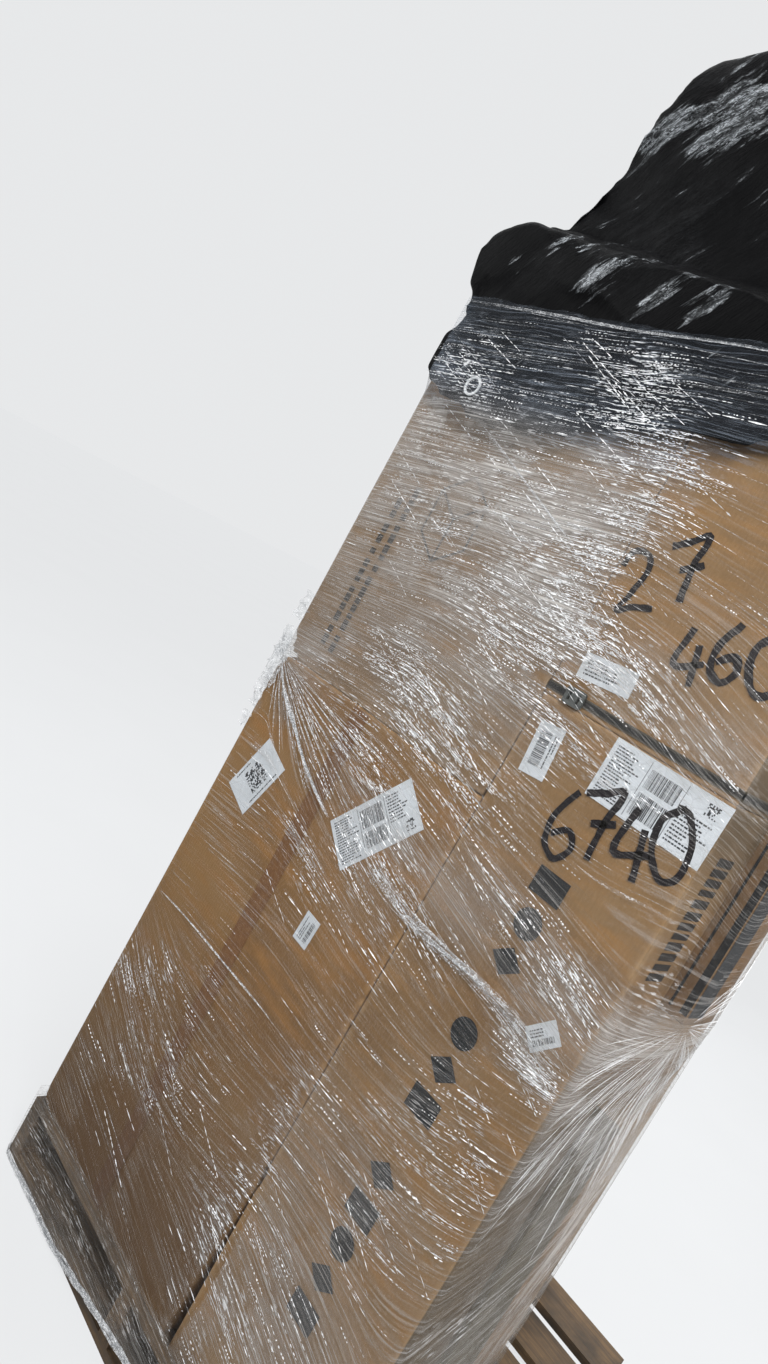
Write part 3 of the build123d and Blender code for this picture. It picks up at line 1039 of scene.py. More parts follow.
def make_wrap(finish):
    """The film round the load, from the deck up over the bag's skirt, as one open sheet."""
    columns = wrap_columns()
    points, wrap_uv, flow_uv, milk, sparkle = [], [], [], [], []
    lengths = wrap_lengths
    starts = [sum(lengths[:i]) for i in range(len(lengths))]
    ring = columns + [columns[0]]
    for row in range(wrap_rows):
        part = row / (wrap_rows - 1)
        for place, (side, share) in enumerate(ring):
            up = part * (film_top - deck_top - film_top_margin)
            corners = wrap_corners(up)
            start = Vector(corners[side])
            end = Vector(corners[(side + 1) % len(corners)])
            plan = start.lerp(end, share)
            direction = (end - start).normalized()
            outward = Vector((direction.y, -direction.x))
            along = starts[side] + share * lengths[side]
            if side == 0:
                top = broken_line(wrap_top_edge, along)
                top += 5 * ripple(along / 60, 2.2) + 2 * ripple(along / 14, 4.4)
                up = part * top
                gap = front_film_gap(along, up)
                flow = front_flow(along, up)
                sway = skirt_sway * ripple(along / 110, up / 60, 8.0)
                flow += sway * smooth_step(*skirt_sway_from, up)
                milk.append(front_milk(along, up))
                sparkle.append(min(1.0, front_sparkle(along, up)))
            else:
                gap = side_film_gap(side, along, up)
                flow = side_flow(along, up)
                milk.append(side_milk(side, along, up))
                sparkle.append(0.16 + 0.22 * ripple(along / 140, up / 160, 6))
            corner_blend = min(share, 1 - share) * lengths[side]
            tuck = 1 - smooth_step(corner_inset, corner_inset + corner_tuck, corner_blend)
            gap = gap * (1 - 0.35 * tuck) + 0.6 * tuck
            spot = plan + outward * gap
            points.append(Vector((spot.x, spot.y, deck_top + 1.0 + up)) * MM)
            wrapped = along if place < len(columns) else along + sum(lengths)
            wrap_uv.append((wrapped * MM, up * MM))
            flow_uv.append((wrapped * MM, flow * MM))
    piece = add_mesh("stretch_wrap", points, grid_faces(wrap_rows, len(ring)), finish,
                     layers={"wrap": wrap_uv, "flow": flow_uv},
                     numbers={"milk": milk, "sparkle": sparkle})
    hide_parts("stretch_film")


def ribbon(points, faces, path, width, tilt, facing=Vector((0, -1, 0))):
    """Adds a flat strip along a path of points, pointed at both ends and leaned out by tilt."""
    first = len(points)
    last = len(path) - 1
    for place, spot in enumerate(path):
        ahead = path[min(place + 1, last)] - path[max(place - 1, 0)]
        across = facing.cross(ahead).normalized()
        across = (across * math.cos(tilt) + facing * math.sin(tilt))
        half = width / 2 * math.sin(math.pi * (0.06 + 0.88 * place / last))
        points.append((spot + across * half) * MM)
        points.append((spot - across * half) * MM)
    faces.extend(strip_faces(first, last))


def front_spot(along, up, proud):
    """A place on the front film, in millimetres in the frame."""
    return Vector((load_left + along, load_front - front_film_gap(along, up) - proud, deck_top + up))


def side_spot(along, up, proud):
    """A place on the film of the other sides, by its distance round the wrap."""
    corners = wrap_corners(up)
    side, left = 0, along
    while left > wrap_lengths[side] and side < len(wrap_lengths) - 1:
        left -= wrap_lengths[side]
        side += 1
    start, end = Vector(corners[side]), Vector(corners[(side + 1) % len(corners)])
    direction = (end - start).normalized()
    plan = start.lerp(end, left / wrap_lengths[side])
    plan += Vector((direction.y, -direction.x)) * (side_film_gap(side, along, up) + proud)
    return Vector((plan.x, plan.y, deck_top + 1 + up))


side_line_count = 520
side_line_step = 12
# Where lines on the right side are drawn, along and up
side_line_field = ((1006, 1640), (10, 1900))


def make_side_lines(finish):
    """Fine straight folds on the right side that run out from the corner of the upper back carton."""
    points, faces = [], []
    (first, last), (lowest, highest) = side_line_field
    for _ in range(side_line_count):
        turn = math.radians(draws.uniform(-158, 48))
        away = draws.uniform(8, 300)
        end = away + draws.uniform(40, 260)
        path = []
        while away < end:
            along = knot_along + away * math.cos(turn)
            up = knot_up + away * math.sin(turn)
            if first < along < last and lowest < up < highest:
                path.append(side_spot(along, up, 0.8))
            away += side_line_step
        if len(path) > 3:
            ribbon(points, faces, path, draws.uniform(0.5, 1.1), math.radians(draws.uniform(-35, 35)),
                   Vector((1, 0, 0)))
    add_mesh("wrap_side_lines", points, faces, finish, smooth=False)


crease_count = 12500
crossing_share = 0.06
# Where rows of creases may begin, along and up, and where they end
crease_field = ((3, 985), (8, 1975))
crease_last_start = 992
crease_farthest = 997
crease_lowest = 5
crease_highest = 1978
crease_widths = (0.9, 1.1, 1.4, 1.8, 2.4)
# The longest dash of a row. Rows differ in it, so that they don't look sewn
longest_dashes = (5, 8, 12, 20, 34)


def make_creases(finish):
    """Rows of small raised creases that catch the light, each row strung along one drawn line."""
    points, faces = [], []
    made = 0
    while made < crease_count:
        along = draws.uniform(*crease_field[0])
        up = draws.uniform(*crease_field[1])
        bunching = max(0.05, 0.55 + 1.5 * ripple(along / 55, up / 13, 3.3))
        glint = front_sparkle(along, up)
        if draws.random() > glint ** 1.3 * bunching:
            continue
        crossing = draws.random() < crossing_share
        lean = -math.tan(math.radians(draws.uniform(20, 27)))
        length = draws.uniform(12, 70) if not crossing else draws.uniform(40, 160)
        width = draws.choice(crease_widths)
        tilt = draws.uniform(-42, 42)
        longest = draws.choice(longest_dashes)
        while length > 0 and along < crease_last_start and crease_lowest < up < crease_highest:
            slope = lean if crossing else pull_slope(along, up)
            dash = draws.uniform(2.5, longest) if not crossing else draws.uniform(6, 20)
            ahead = 1 / math.hypot(1, slope)
            path = [front_spot(min(along + dash * ahead * k / 2, crease_farthest),
                               up + dash * ahead * slope * k / 2, 1.0) for k in range(3)]
            ribbon(points, faces, path, width * draws.uniform(0.7, 1.2),
                   math.radians(tilt + draws.uniform(-14, 14)))
            made += 1
            step = dash + draws.uniform(0.8, 7)
            along += step * ahead
            up += step * ahead * slope + draws.uniform(-0.5, 0.5)
            length -= step
    add_mesh("wrap_creases", points, faces, finish, smooth=False)


pull_line_count = 460
pull_line_step = 12
pull_line_field = (4, 996)
pull_line_lowest = 6
pull_line_highest = 1975


def make_pull_lines(finish):
    """Long thin folds in the film that follow the pull across the front."""
    points, faces = [], []
    for number in range(pull_line_count):
        along = draws.uniform(-60, 930)
        up = draws.uniform(20, 1960) if number % 11 else draws.uniform(1880, 1978)
        length = draws.uniform(50, 300)
        width = draws.uniform(0.6, 1.2)
        path = []
        while along < pull_line_field[1] and length > 0:
            if along > pull_line_field[0]:
                path.append(front_spot(along, min(up, pull_line_highest), 0.9))
            slope = pull_slope(along, up)
            along += pull_line_step / math.hypot(1, slope)
            up += pull_line_step * slope / math.hypot(1, slope)
            length -= pull_line_step
            if up < pull_line_lowest:
                break
        if len(path) > 4:
            ribbon(points, faces, path, width, math.radians(draws.uniform(-40, 40)))
    add_mesh("wrap_pull_lines", points, faces, finish, smooth=False)


rope_steps = 34


def make_rope(name, route, strands, spread, width, finish, proud=3.0, turns=(0.6, 2.2)):
    """Film drawn into a rope: many narrow strips that twist and cross along one route."""
    points, faces = [], []
    for _ in range(strands):
        phase = draws.uniform(0, 2 * math.pi)
        twist = draws.uniform(*turns)
        reach = draws.uniform(0.1, 1.0) * spread
        start = draws.uniform(0, 0.16)
        end = 1 - draws.uniform(0, 0.16)
        path = []
        for i in range(rope_steps + 1):
            part = start + (end - start) * i / rope_steps
            along, up = along_route(route, part)
            opening = 0.45 + 0.55 * abs(2 * part - 1)
            sway = reach * opening * math.sin(phase + twist * 2 * math.pi * part)
            lift = 0.5 * spread * (0.5 + 0.5 * math.cos(phase + twist * 2 * math.pi * part))
            path.append(front_spot(along, up + sway, proud * 0.3 + lift * 0.4))
        ribbon(points, faces, path, width * draws.uniform(0.5, 1.5), math.radians(draws.uniform(-50, 50)))
    add_mesh(name, points, faces, finish, smooth=False)


def along_route(route, part):
    """A place on a smooth line through (along, up) points, at a share of its length."""
    spans = [math.dist(a, b) for a, b in zip(route, route[1:])]
    left = part * sum(spans)
    for number, span in enumerate(spans):
        if left <= span or number == len(spans) - 1:
            before = route[max(number - 1, 0)]
            after = route[min(number + 2, len(route) - 1)]
            return curve_spot(before, route[number], route[number + 1], after, min(left / span, 1.0))
        left -= span


corner_to_label = ((4, 1160), (60, 1112), (214, 1017), (352, 957))
across_right_carton = ((482, 953), (613, 926), (786, 926), (901, 917), (1000, 888))
top_edge = ((0, 1972), (239, 1980), (447, 1984), (662, 1996), (998, 1994))
long_scratch = ((200, 1757), (383, 1677), (560, 1605))
lower_long_crease = ((24, 578), (240, 588), (487, 592))
# Pleats of the fan: turn from level in degrees, and reach
pleats = ((-64, 150), (-57, 190), (-50, 230), (-44, 180), (-39, 260), (-34, 340), (-30, 290),
          (-27, 380), (-24, 430), (-21, 460), (-18, 380), (-15, 420), (-12, 400), (-9, 340))


def make_ropes(finish, thin):
    """The film's ropes, its long creases and the fan of pleats at the crushed corner."""
    make_rope("wrap_rope_left", corner_to_label, 26, 7, 2.2, finish, turns=(0.2, 0.9))
    make_rope("wrap_rope_right", across_right_carton, 40, 22, 1.3, thin, turns=(0.15, 0.7))
    make_rope("wrap_top_roll", top_edge, 9, 6, 1.3, thin, turns=(0.2, 0.8))
    make_rope("wrap_scratch_upper", long_scratch, 6, 4, 1.5, thin)
    make_rope("wrap_crease_lower", lower_long_crease, 5, 3, 2.4, thin)
    for number, (turn, reach) in enumerate(pleats):
        turn = math.radians(turn)
        route = ((fan_along + 6, fan_up - 4),
                 (fan_along + reach * math.cos(turn) * 0.5, fan_up + reach * math.sin(turn) * 0.52),
                 (fan_along + reach * math.cos(turn), fan_up + reach * math.sin(turn)))
        make_rope(f"wrap_pleat_{number + 1}", route, 5, 3, 1.6, thin, proud=1.5, turns=(0.1, 0.6))


# Tufts of loose film at the crushed corner: along, up and size
tuft_cells = 13
tuft_places = ((-6, 1290, 26), (-8, 1262, 30), (-8, 1205, 28), (-6, 1180, 34), (-8, 1150, 34),
               (-4, 1120, 32), (-6, 1085, 34), (-2, 1050, 28), (8, 1170, 36), (8, 1110, 34),
               (-2, 1000, 24))


def make_tufts(finish):
    """Loose film crumpled together at the crushed corner."""
    points, faces = [], []
    for number, (along, up, size) in enumerate(tuft_places):
        first = len(points)
        for row in range(tuft_cells):
            for column in range(tuft_cells):
                x = along + size * (column / (tuft_cells - 1) - 0.5)
                z = up + size * 1.3 * (row / (tuft_cells - 1) - 0.5)
                lift = 7 + 8 * ripple(x / 13, z / 17, number * 3.3) + 3 * ripple(x / 6, z / 8, number)
                x += 8 * ripple(x / 12, z / 8, 9 + number)
                z += 8 * ripple(z / 11, x / 9, 5 + number)
                points.append(Vector((load_left + x, load_front - max(lift, 2), deck_top + z)) * MM)
        faces.extend(grid_faces(tuft_cells, tuft_cells, first))
    add_mesh("wrap_tufts", points, faces, finish)


apron_edge = ((-160, -60), (-20, -140), (271, -133), (462, -96), (591, -80), (1020, -70), (1160, -20))
apron_start = 30.0
apron_from = -160
apron_length = 1320
apron_columns = 150
apron_rows = 22
# How far the apron goes past the load's front corners before it turns, and its foremost place
apron_turn = 8
apron_foremost = -626.0
hem_foremost = -627.0
hem_lowest = 3.0
hem_strands = 46
hem_step = 22


def apron_point(along, up):
    """A place on the film that hangs from the cartons over the pallet's edge."""
    left, right = load_left - apron_turn, load_right + apron_turn
    front = pallet_front - 5
    fold = 2.5 * abs(ripple(along / 17, up / 210, 1.7)) + 2 * abs(ripple(along / 40, up / 60, 3.9))
    hang = smooth_step(apron_start, -60, up)
    stand = 3 + (6 + 3 * hang) * smooth_step(apron_start, apron_start - 40, up) * 0.5 + fold
    if along < -apron_turn:
        return Vector((left - stand * 0.5, front + (-apron_turn - along), deck_top + up))
    if along > front_width + apron_turn:
        return Vector((right + stand * 0.5, front + (along - front_width - apron_turn), deck_top + up))
    return Vector((load_left + along, max(front - stand + 3, apron_foremost), deck_top + up))


def make_apron(finish, bunched):
    """Film pulled down over the front of the pallet, with a rolled hem."""
    points, flow, milk, sparkle = [], [], [], []
    for row in range(apron_rows):
        for column in range(apron_columns):
            along = apron_from + apron_length * column / (apron_columns - 1)
            low = broken_line(apron_edge, along) + 6 * ripple(along / 30, 1.1)
            up = apron_start + (low - apron_start) * row / (apron_rows - 1)
            points.append(apron_point(along, up) * MM)
            flow.append((along * MM, (up - 14 * math.sin(along / 160)) * MM))
            milk.append(0.03 + 0.22 * (row / (apron_rows - 1)) ** 4)
            sparkle.append(0.35)
    apron = add_mesh("wrap_apron", points, grid_faces(apron_rows, apron_columns), finish,
                     layers={"wrap": flow, "flow": flow}, numbers={"milk": milk, "sparkle": sparkle})
    points, faces = [], []
    for _ in range(hem_strands):
        phase, turns = draws.uniform(0, 6.28), draws.uniform(1.5, 6)
        begin = draws.choice((-150, -150, draws.uniform(-60, 700)))
        end = min(1150, begin + draws.uniform(350, 1400))
        spread = draws.uniform(1, 9)
        path = []
        steps = max(8, int((end - begin) / hem_step))
        for i in range(steps + 1):
            along = begin + (end - begin) * i / steps
            angle = phase + turns * 2 * math.pi * (along - apron_from) / apron_length
            up = broken_line(apron_edge, along) + spread * math.sin(angle) + 2
            spot = apron_point(along, up)
            spot.y -= 1.0 + min(spread, 3) * (0.5 + 0.5 * math.cos(angle))
            path.append(Vector((spot.x, max(spot.y, hem_foremost), max(spot.z, hem_lowest))))
        ribbon(points, faces, path, draws.uniform(1.5, 4.5), math.radians(draws.uniform(-50, 50)))
    hem = add_mesh("wrap_hem", points, faces, bunched, smooth=False)


# Prints, marks and tape on the cartons
ink_lift = 0.5


def flat_mesh(name, outlines, finish, lift):
    """Makes thin flat shapes on the load's front. An outline is a list of (along, up) points."""
    points, faces = [], []
    for outline in outlines:
        first = len(points)
        points.extend(front_point(along, up, lift) for along, up in outline)
        faces.append(tuple(range(first, first + len(outline))))
    add_mesh(name, points, faces, finish, smooth=False)


def turned_box(centre, across, along_unit, width, height):
    """Corners of a rectangle from its middle, its two unit directions and its size."""
    return [(centre[0] + across[0] * width * i / 2 + along_unit[0] * height * j / 2,
             centre[1] + across[1] * width * i / 2 + along_unit[1] * height * j / 2)
            for i, j in ((-1, -1), (1, -1), (1, 1), (-1, 1))]


class LabelPrint:
    """Plain bars and lines printed on one label, laid out along its long side."""

    bar_widths = (0.6, 0.9, 1.4, 2.0)
    bar_gaps = (0.8, 1.2, 1.9)
    line_pitch = 2.3
    grid_fill = 0.48

    def __init__(self, node):
        self.name = node
        corners = sorted({(round(v.co.x / MM - load_left, 2), round(v.co.z / MM - deck_top, 2))
                          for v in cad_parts[node].data.vertices})
        self.middle = tuple(sum(c[k] for c in corners) / len(corners) for k in (0, 1))
        first = corners[0]
        others = sorted(corners[1:], key=lambda c: math.dist(c, first))
        short, long = others[0], others[1]
        self.short = math.dist(first, short)
        self.long = math.dist(first, long)
        self.long_way = ((long[0] - first[0]) / self.long, (long[1] - first[1]) / self.long)
        self.short_way = ((short[0] - first[0]) / self.short, (short[1] - first[1]) / self.short)
        self.outlines = []

    def block(self, x, y, width, height):
        """A printed block, with x, y, width and height as shares of the label."""
        centre = (self.middle[0] + self.long_way[0] * (x - 0.5) * self.long
                  + self.short_way[0] * (y - 0.5) * self.short,
                  self.middle[1] + self.long_way[1] * (x - 0.5) * self.long
                  + self.short_way[1] * (y - 0.5) * self.short)
        self.outlines.append(turned_box(centre, self.long_way, self.short_way,
                                        width * self.long, height * self.short))

    def bars(self, x0, x1, y0, y1):
        """A bar code's look: upright bars of uneven width."""
        x = x0
        while x < x1:
            width = draws.choice(self.bar_widths) / self.long
            self.block(x + width / 2, (y0 + y1) / 2, width, y1 - y0)
            x += width + draws.choice(self.bar_gaps) / self.long

    def lines(self, x0, x1, y0, y1, height):
        """Rows of short dashes, like small print seen from afar."""
        y = y0
        while y < y1:
            x = x0
            end = x0 + (x1 - x0) * draws.uniform(0.45, 1.0)
            while x < end:
                width = draws.uniform(1.6, 6.5) / self.long
                self.block(x + width / 2, y, width, height / self.short)
                x += width + 1.5 / self.long
            y += self.line_pitch * height / self.short

    def grid(self, x, y, size, count):
        """A square of scattered small blocks."""
        step = size / count
        for row in range(count):
            for column in range(count):
                if draws.random() < self.grid_fill:
                    self.block(x + ((column + 0.5) * step - size / 2) / self.long,
                               y + ((row + 0.5) * step - size / 2) / self.short,
                               step / self.long, step / self.short)

    def build(self, finish):
        """Makes the print, a little proud of its label."""
        flat_mesh(self.name.replace("label", "print"), self.outlines, finish, print_lift)


print_lift = 0.60
# What is printed on each kind of label, from left to right along its long side
shipping_marks = (("lines", 0.04, 0.30, 0.10, 0.92, 2.2), ("bars", 0.36, 0.62, 0.12, 0.48),
                  ("bars", 0.36, 0.62, 0.56, 0.86), ("lines", 0.68, 0.95, 0.12, 0.62, 2.6),
                  ("grid", 0.88, 0.80, 20, 9), ("block", 0.335, 0.5, 0.004, 0.9),
                  ("block", 0.655, 0.5, 0.004, 0.9))
small_marks = (("lines", 0.12, 0.88, 0.22, 0.48, 2.0), ("bars", 0.14, 0.84, 0.58, 0.82))
label_marks = {
    "label_shipping_right": shipping_marks,
    "label_shipping_left": shipping_marks,
    "label_barcode_right": (("bars", 0.16, 0.80, 0.20, 0.62), ("lines", 0.16, 0.84, 0.76, 0.90, 2.4)),
    "label_square_left": (("grid", 0.5, 0.5, 52, 17), ("lines", 0.18, 0.82, 0.09, 0.14, 2.8),
                          ("lines", 0.20, 0.84, 0.90, 0.94, 2.8)),
    "label_small_left": small_marks,
    "label_small_right": small_marks,
    "label_upper_right": (("lines", 0.10, 0.88, 0.24, 0.84, 2.6),),
}


def make_label_prints(finish):
    """Prints every label in turn."""
    for node, marks in label_marks.items():
        label = LabelPrint(node)
        for kind, *sizes in marks:
            getattr(label, kind)(*sizes)
        label.build(finish)


# Digits as pen strokes in a box one high, each stroke a list of points
pen_digits = {
    "0": (((0.45, 0.98), (0.12, 0.80), (0.02, 0.40), (0.20, 0.03), (0.48, 0.10), (0.60, 0.52),
           (0.50, 0.90), (0.30, 0.98)),),
    "2": (((0.04, 0.76), (0.22, 0.98), (0.50, 0.90), (0.52, 0.64), (0.22, 0.26), (0.0, 0.04),
           (0.30, 0.06), (0.66, 0.0)),),
    "4": (((0.34, 0.98), (0.02, 0.36), (0.62, 0.38)), ((0.48, 0.70), (0.40, 0.0))),
    "6": (((0.50, 0.98), (0.14, 0.62), (0.04, 0.22), (0.26, 0.0), (0.52, 0.18), (0.44, 0.42),
           (0.12, 0.34)),),
    "7": (((0.02, 0.90), (0.34, 0.94), (0.66, 0.98), (0.40, 0.52), (0.22, 0.0)),
          ((0.18, 0.50), (0.60, 0.54))),
}
pen_lift = 0.75
pen_half_width = 6.4
# Each number with its start, its slant in degrees, its height and the pitch of its digits
pen_notes = (
    ("27", (668, 1545), 27, 104, 84),
    ("4602", (812, 1480), 22, 92, 58),
    ("6740", (772, 1150), 22, 112, 60),
)


def make_pen_numbers(finish):
    """Large plain numbers written on the cartons with a broad marker."""
    for number, (digits, start, slant, height, pitch) in enumerate(pen_notes):
        turn = math.radians(slant)
        points, faces = [], []
        for place, digit in enumerate(digits):
            for stroke in pen_digits[digit]:
                path = []
                for x, y in smooth_stroke(stroke):
                    x = place * pitch + x * height * 0.9 + 1.5 * ripple(x * 4, y * 4, place)
                    y = y * height + 10 * math.sin(place * 2.1) + 1.5 * ripple(y * 4, x * 4, place + 4)
                    path.append(front_point(start[0] + x * math.cos(turn) - y * math.sin(turn),
                                            start[1] + x * math.sin(turn) + y * math.cos(turn),
                                            pen_lift) / MM)
                pen_line(points, faces, path, pen_half_width + 0.8 * math.sin(place))
        add_mesh(f"pen_number_{number + 1}", points, faces, finish, smooth=False)


def smooth_stroke(stroke, steps=6):
    """Points along a smooth curve through a stroke's own points."""
    curve = []
    for i in range(len(stroke) - 1):
        before = stroke[max(i - 1, 0)]
        after = stroke[min(i + 2, len(stroke) - 1)]
        for step in range(steps):
            curve.append(curve_spot(before, stroke[i], stroke[i + 1], after, step / steps))
    curve.append(stroke[-1])
    return curve


def pen_line(points, faces, path, half):
    """A flat stroke of nearly even width with blunt ends."""
    first = len(points)
    last = len(path) - 1
    for place, spot in enumerate(path):
        ahead = path[min(place + 1, last)] - path[max(place - 1, 0)]
        across = Vector((0, -1, 0)).cross(ahead).normalized()
        reach = half * (0.82 + 0.25 * ripple(spot.x / 15, spot.z / 15, 1.0))
        points.append((spot + across * reach) * MM)
        points.append((spot - across * reach) * MM)
    faces.extend(strip_faces(first, last))


# The column of printed shapes down the lower right carton
print_along = 815.0
print_from = 1120.0
print_to = 300.0
print_drift = 10.0
print_count = 13
print_gaps = (3, 7)
print_half = 31.0
square_half = 22.0
diamond_half = 25.0
disc_radius = 26.0
disc_corners = 32


def bar_outline(a, b, half):
    """Outline of a straight printed line from a to b."""
    away = Vector((b[0] - a[0], b[1] - a[1])).normalized() * half
    return [(a[0] - away.y, a[1] + away.x), (b[0] - away.y, b[1] + away.x),
            (b[0] + away.y, b[1] - away.x), (a[0] + away.y, a[1] - away.x)]


def make_big_print(finish):
    """A column of plain printed shapes down the right-hand carton: squares, discs and diamonds."""
    outlines = []
    pitch = (print_from - print_to) / (print_count - 1)
    for number in range(print_count):
        up = print_from - number * pitch
        middle = print_along + print_drift * (number / (print_count - 1))
        if number in print_gaps:
            continue
        if number % 3 == 0:
            outlines.append([(middle + print_half * i, up + square_half * j)
                             for i, j in ((-1, -1), (1, -1), (1, 1), (-1, 1))])
        elif number % 3 == 1:
            turns = [2 * math.pi * i / disc_corners for i in range(disc_corners)]
            outlines.append([(middle + disc_radius * math.cos(turn), up + disc_radius * math.sin(turn))
                             for turn in turns])
        else:
            outlines.append([(middle - print_half, up), (middle, up - diamond_half),
                             (middle + print_half, up), (middle, up + diamond_half)])
    flat_mesh("printed_marks_lower", outlines, finish, ink_lift)


# The dash rows and the drawn cube on the upper left carton
dash_rows = ((86, 1228), (118, 1222))
dash_top = 1575.0
dash_width = 15.0
cube_middle = (250, 1570)
cube_reach = (72, 90)
cube_line_half = 2.2


def make_small_print(finish):
    """Two printed rows of plain dashes and the outline of a cube on the upper left carton."""
    outlines = []
    for along, up in dash_rows:
        while up < dash_top:
            tall = draws.uniform(9, 26)
            outlines.append([(along, up), (along + dash_width, up), (along + dash_width, up + tall),
                             (along, up + tall)])
            up += tall + draws.choice((4, 5, 13))
    ring = [(cube_middle[0] + cube_reach[0] * math.sin(math.pi * i / 3),
             cube_middle[1] + cube_reach[1] * math.cos(math.pi * i / 3)) for i in range(6)]
    for i in range(6):
        outlines.append(bar_outline(ring[i], ring[(i + 1) % 6], cube_line_half))
        if i % 2:
            outlines.append(bar_outline(ring[i], cube_middle, cube_line_half))
    flat_mesh("printed_marks_upper", outlines, finish, ink_lift)


def upright_strip(points, faces, ends, low, high, steps):
    """A printed strip that stands on the sides of cartons, between two plan places in millimetres."""
    first = len(points)
    for row in range(steps + 1):
        up = deck_top + low + (high - low) * row / steps
        points.extend(Vector((x, y, up)) * MM for x, y in ends)
    faces.extend(grid_faces(steps + 1, len(ends), first))


band_margin = 14.0
side_blocks_low = 1088.0
side_blocks_high = 1290.0


def make_side_print(finish, faint):
    """Plain printed bands on the upper back carton, and a row of blocks beside them."""
    right = upper_reach + ink_lift
    front = second_front - ink_lift
    low = upper_reach_from + band_margin
    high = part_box("carton_second_right_upper")[1].z / MM - deck_top - band_margin
    points, faces = [], []
    for ends in (((load_right + 8, front), (load_right + 12.5, front)),
                 ((upper_reach - 15, front), (upper_reach - 2, front)),
                 ((right, second_front + 2), (right, second_front + 58))):
        upright_strip(points, faces, ends, low, high, 12)
    add_mesh("printed_bands_side", points, faces, finish, smooth=False)
    points, faces = [], []
    up = side_blocks_low
    side = load_right + ink_lift
    while up < side_blocks_high:
        tall = draws.uniform(10, 17)
        upright_strip(points, faces, ((side, load_front + 42), (side, load_front + 98)), up, up + tall, 1)
        up += tall + draws.uniform(4, 8)
    add_mesh("printed_blocks_side", points, faces, faint, smooth=False)


tape_width = 46.0
tape_rows = 160
tape_columns = 7


def make_tape(finish):
    """Brown tape down the seam of the lower left carton, with wrinkled stretches."""
    points = []
    for row in range(tape_rows):
        up = 2 + (left_seam - 6) * row / (tape_rows - 1)
        middle = tape_seam - 8 + 10 * (1 - up / left_seam)
        for column in range(tape_columns):
            along = middle + tape_width * (column / (tape_columns - 1) - 0.5)
            lift = 0.35 + 0.9 * max(ripple(along / 18, up / 30, 6.1) - 0.1, 0)
            points.append(front_point(along, up, lift))
    add_mesh("carton_tape", points, grid_faces(tape_rows, tape_columns), finish)


# Bag, with its settings in metres
bag_voxel = 0.024
bag_swell = 0.006
bag_steps = 16
bag_move_cap = 0.03
bag_lift = 0.036
bag_lift_from = 0.50
bag_lift_full = 0.06
# The wrap ties the bag up to this far under the load's top, and lets it go over the fade
bag_tie = 0.05
bag_tie_fade = 0.07
heap_inset = 0.031
heap_sway = 0.017
heap_skin = 0.006
cloth_gap = 0.004
cloth_settings = {"quality": 4, "mass": 0.3, "tension_stiffness": 12, "compression_stiffness": 12,
                  "shear_stiffness": 4, "bending_stiffness": 0.6, "shrink_min": -0.05,
                  "vertex_group_mass": "tied"}
# Places (along, back, up, reach) where the bag is crumpled and carries painted highlights, and how
# strongly
crumples = (
    ((285, -18, 2050, 26), 1.0), ((312, -16, 2082, 24), 1.0), ((345, -12, 2108, 24), 0.8),
    ((428, -18, 2036, 20), 0.9), ((450, -16, 2066, 24), 1.0), ((476, -12, 2098, 18), 0.9),
    ((520, -16, 2036, 20), 1.0), ((540, -16, 2068, 24), 1.0), ((552, -12, 2096, 16), 0.9),
    ((85, 8, 2070, 32), 0.9), ((160, 5, 2132, 34), 0.7), ((225, 2, 2122, 34), 0.7),
    ((116, 60, 2330, 30), 0.7), ((140, 70, 2383, 40), 0.9), ((190, 80, 2420, 44), 1.0),
    ((250, 80, 2430, 40), 0.9), ((280, 90, 2480, 40), 1.0), ((340, 90, 2490, 44), 0.9),
    ((216, 110, 2590, 36), 0.5), ((455, 60, 2290, 36), 0.3), ((640, 20, 2150, 50), 0.7),
    ((330, 70, 2405, 44), 0.8), ((385, 70, 2430, 46), 0.9), ((300, 66, 2360, 36), 0.6),
    ((420, 80, 2480, 46), 0.7), ((470, 80, 2440, 40), 0.6),
    ((760, 60, 2200, 50), 0.6), ((860, 200, 2120, 60), 0.6), ((560, 250, 2420, 60), 0.6),
    ((200, 400, 2560, 70), 0.6), ((420, 380, 2540, 60), 0.5),
)
# The fold line behind the front roll, and the depths of its crease, dip and roll in metres
fold_left = (60, 2181)
fold_right = (640, 2098)
crease_depth = 0.026
dip_depth = 0.045
roll_rise = 0.012


def settled(piece):
    """The mesh of an object with its modifiers worked in."""
    bpy.context.view_layer.update()
    return bpy.data.meshes.new_from_object(piece.evaluated_get(bpy.context.evaluated_depsgraph_get()))


def even_shell(node, voxel):
    """An evenly meshed copy of a node's shape, slightly softened."""
    start = added("even_shell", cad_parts[node].data.copy())
    remesh = start.modifiers.new("even", "REMESH")
    remesh.mode = "VOXEL"
    remesh.voxel_size = voxel
    soften = start.modifiers.new("soften", "SMOOTH")
    soften.iterations = 4
    shell = settled(start)
    bpy.data.objects.remove(start)
    return shell


def drawn_in(mesh, depth):
    """Moves every point in along its normal by depth(point), in metres."""
    normals = [vertex.normal.copy() for vertex in mesh.vertices]
    places = [vertex.co.copy() for vertex in mesh.vertices]
    moved = [place - normal * depth(place) for place, normal in zip(places, normals)]
    mesh.vertices.foreach_set("co", [part for place in moved for part in place])
    mesh.update()


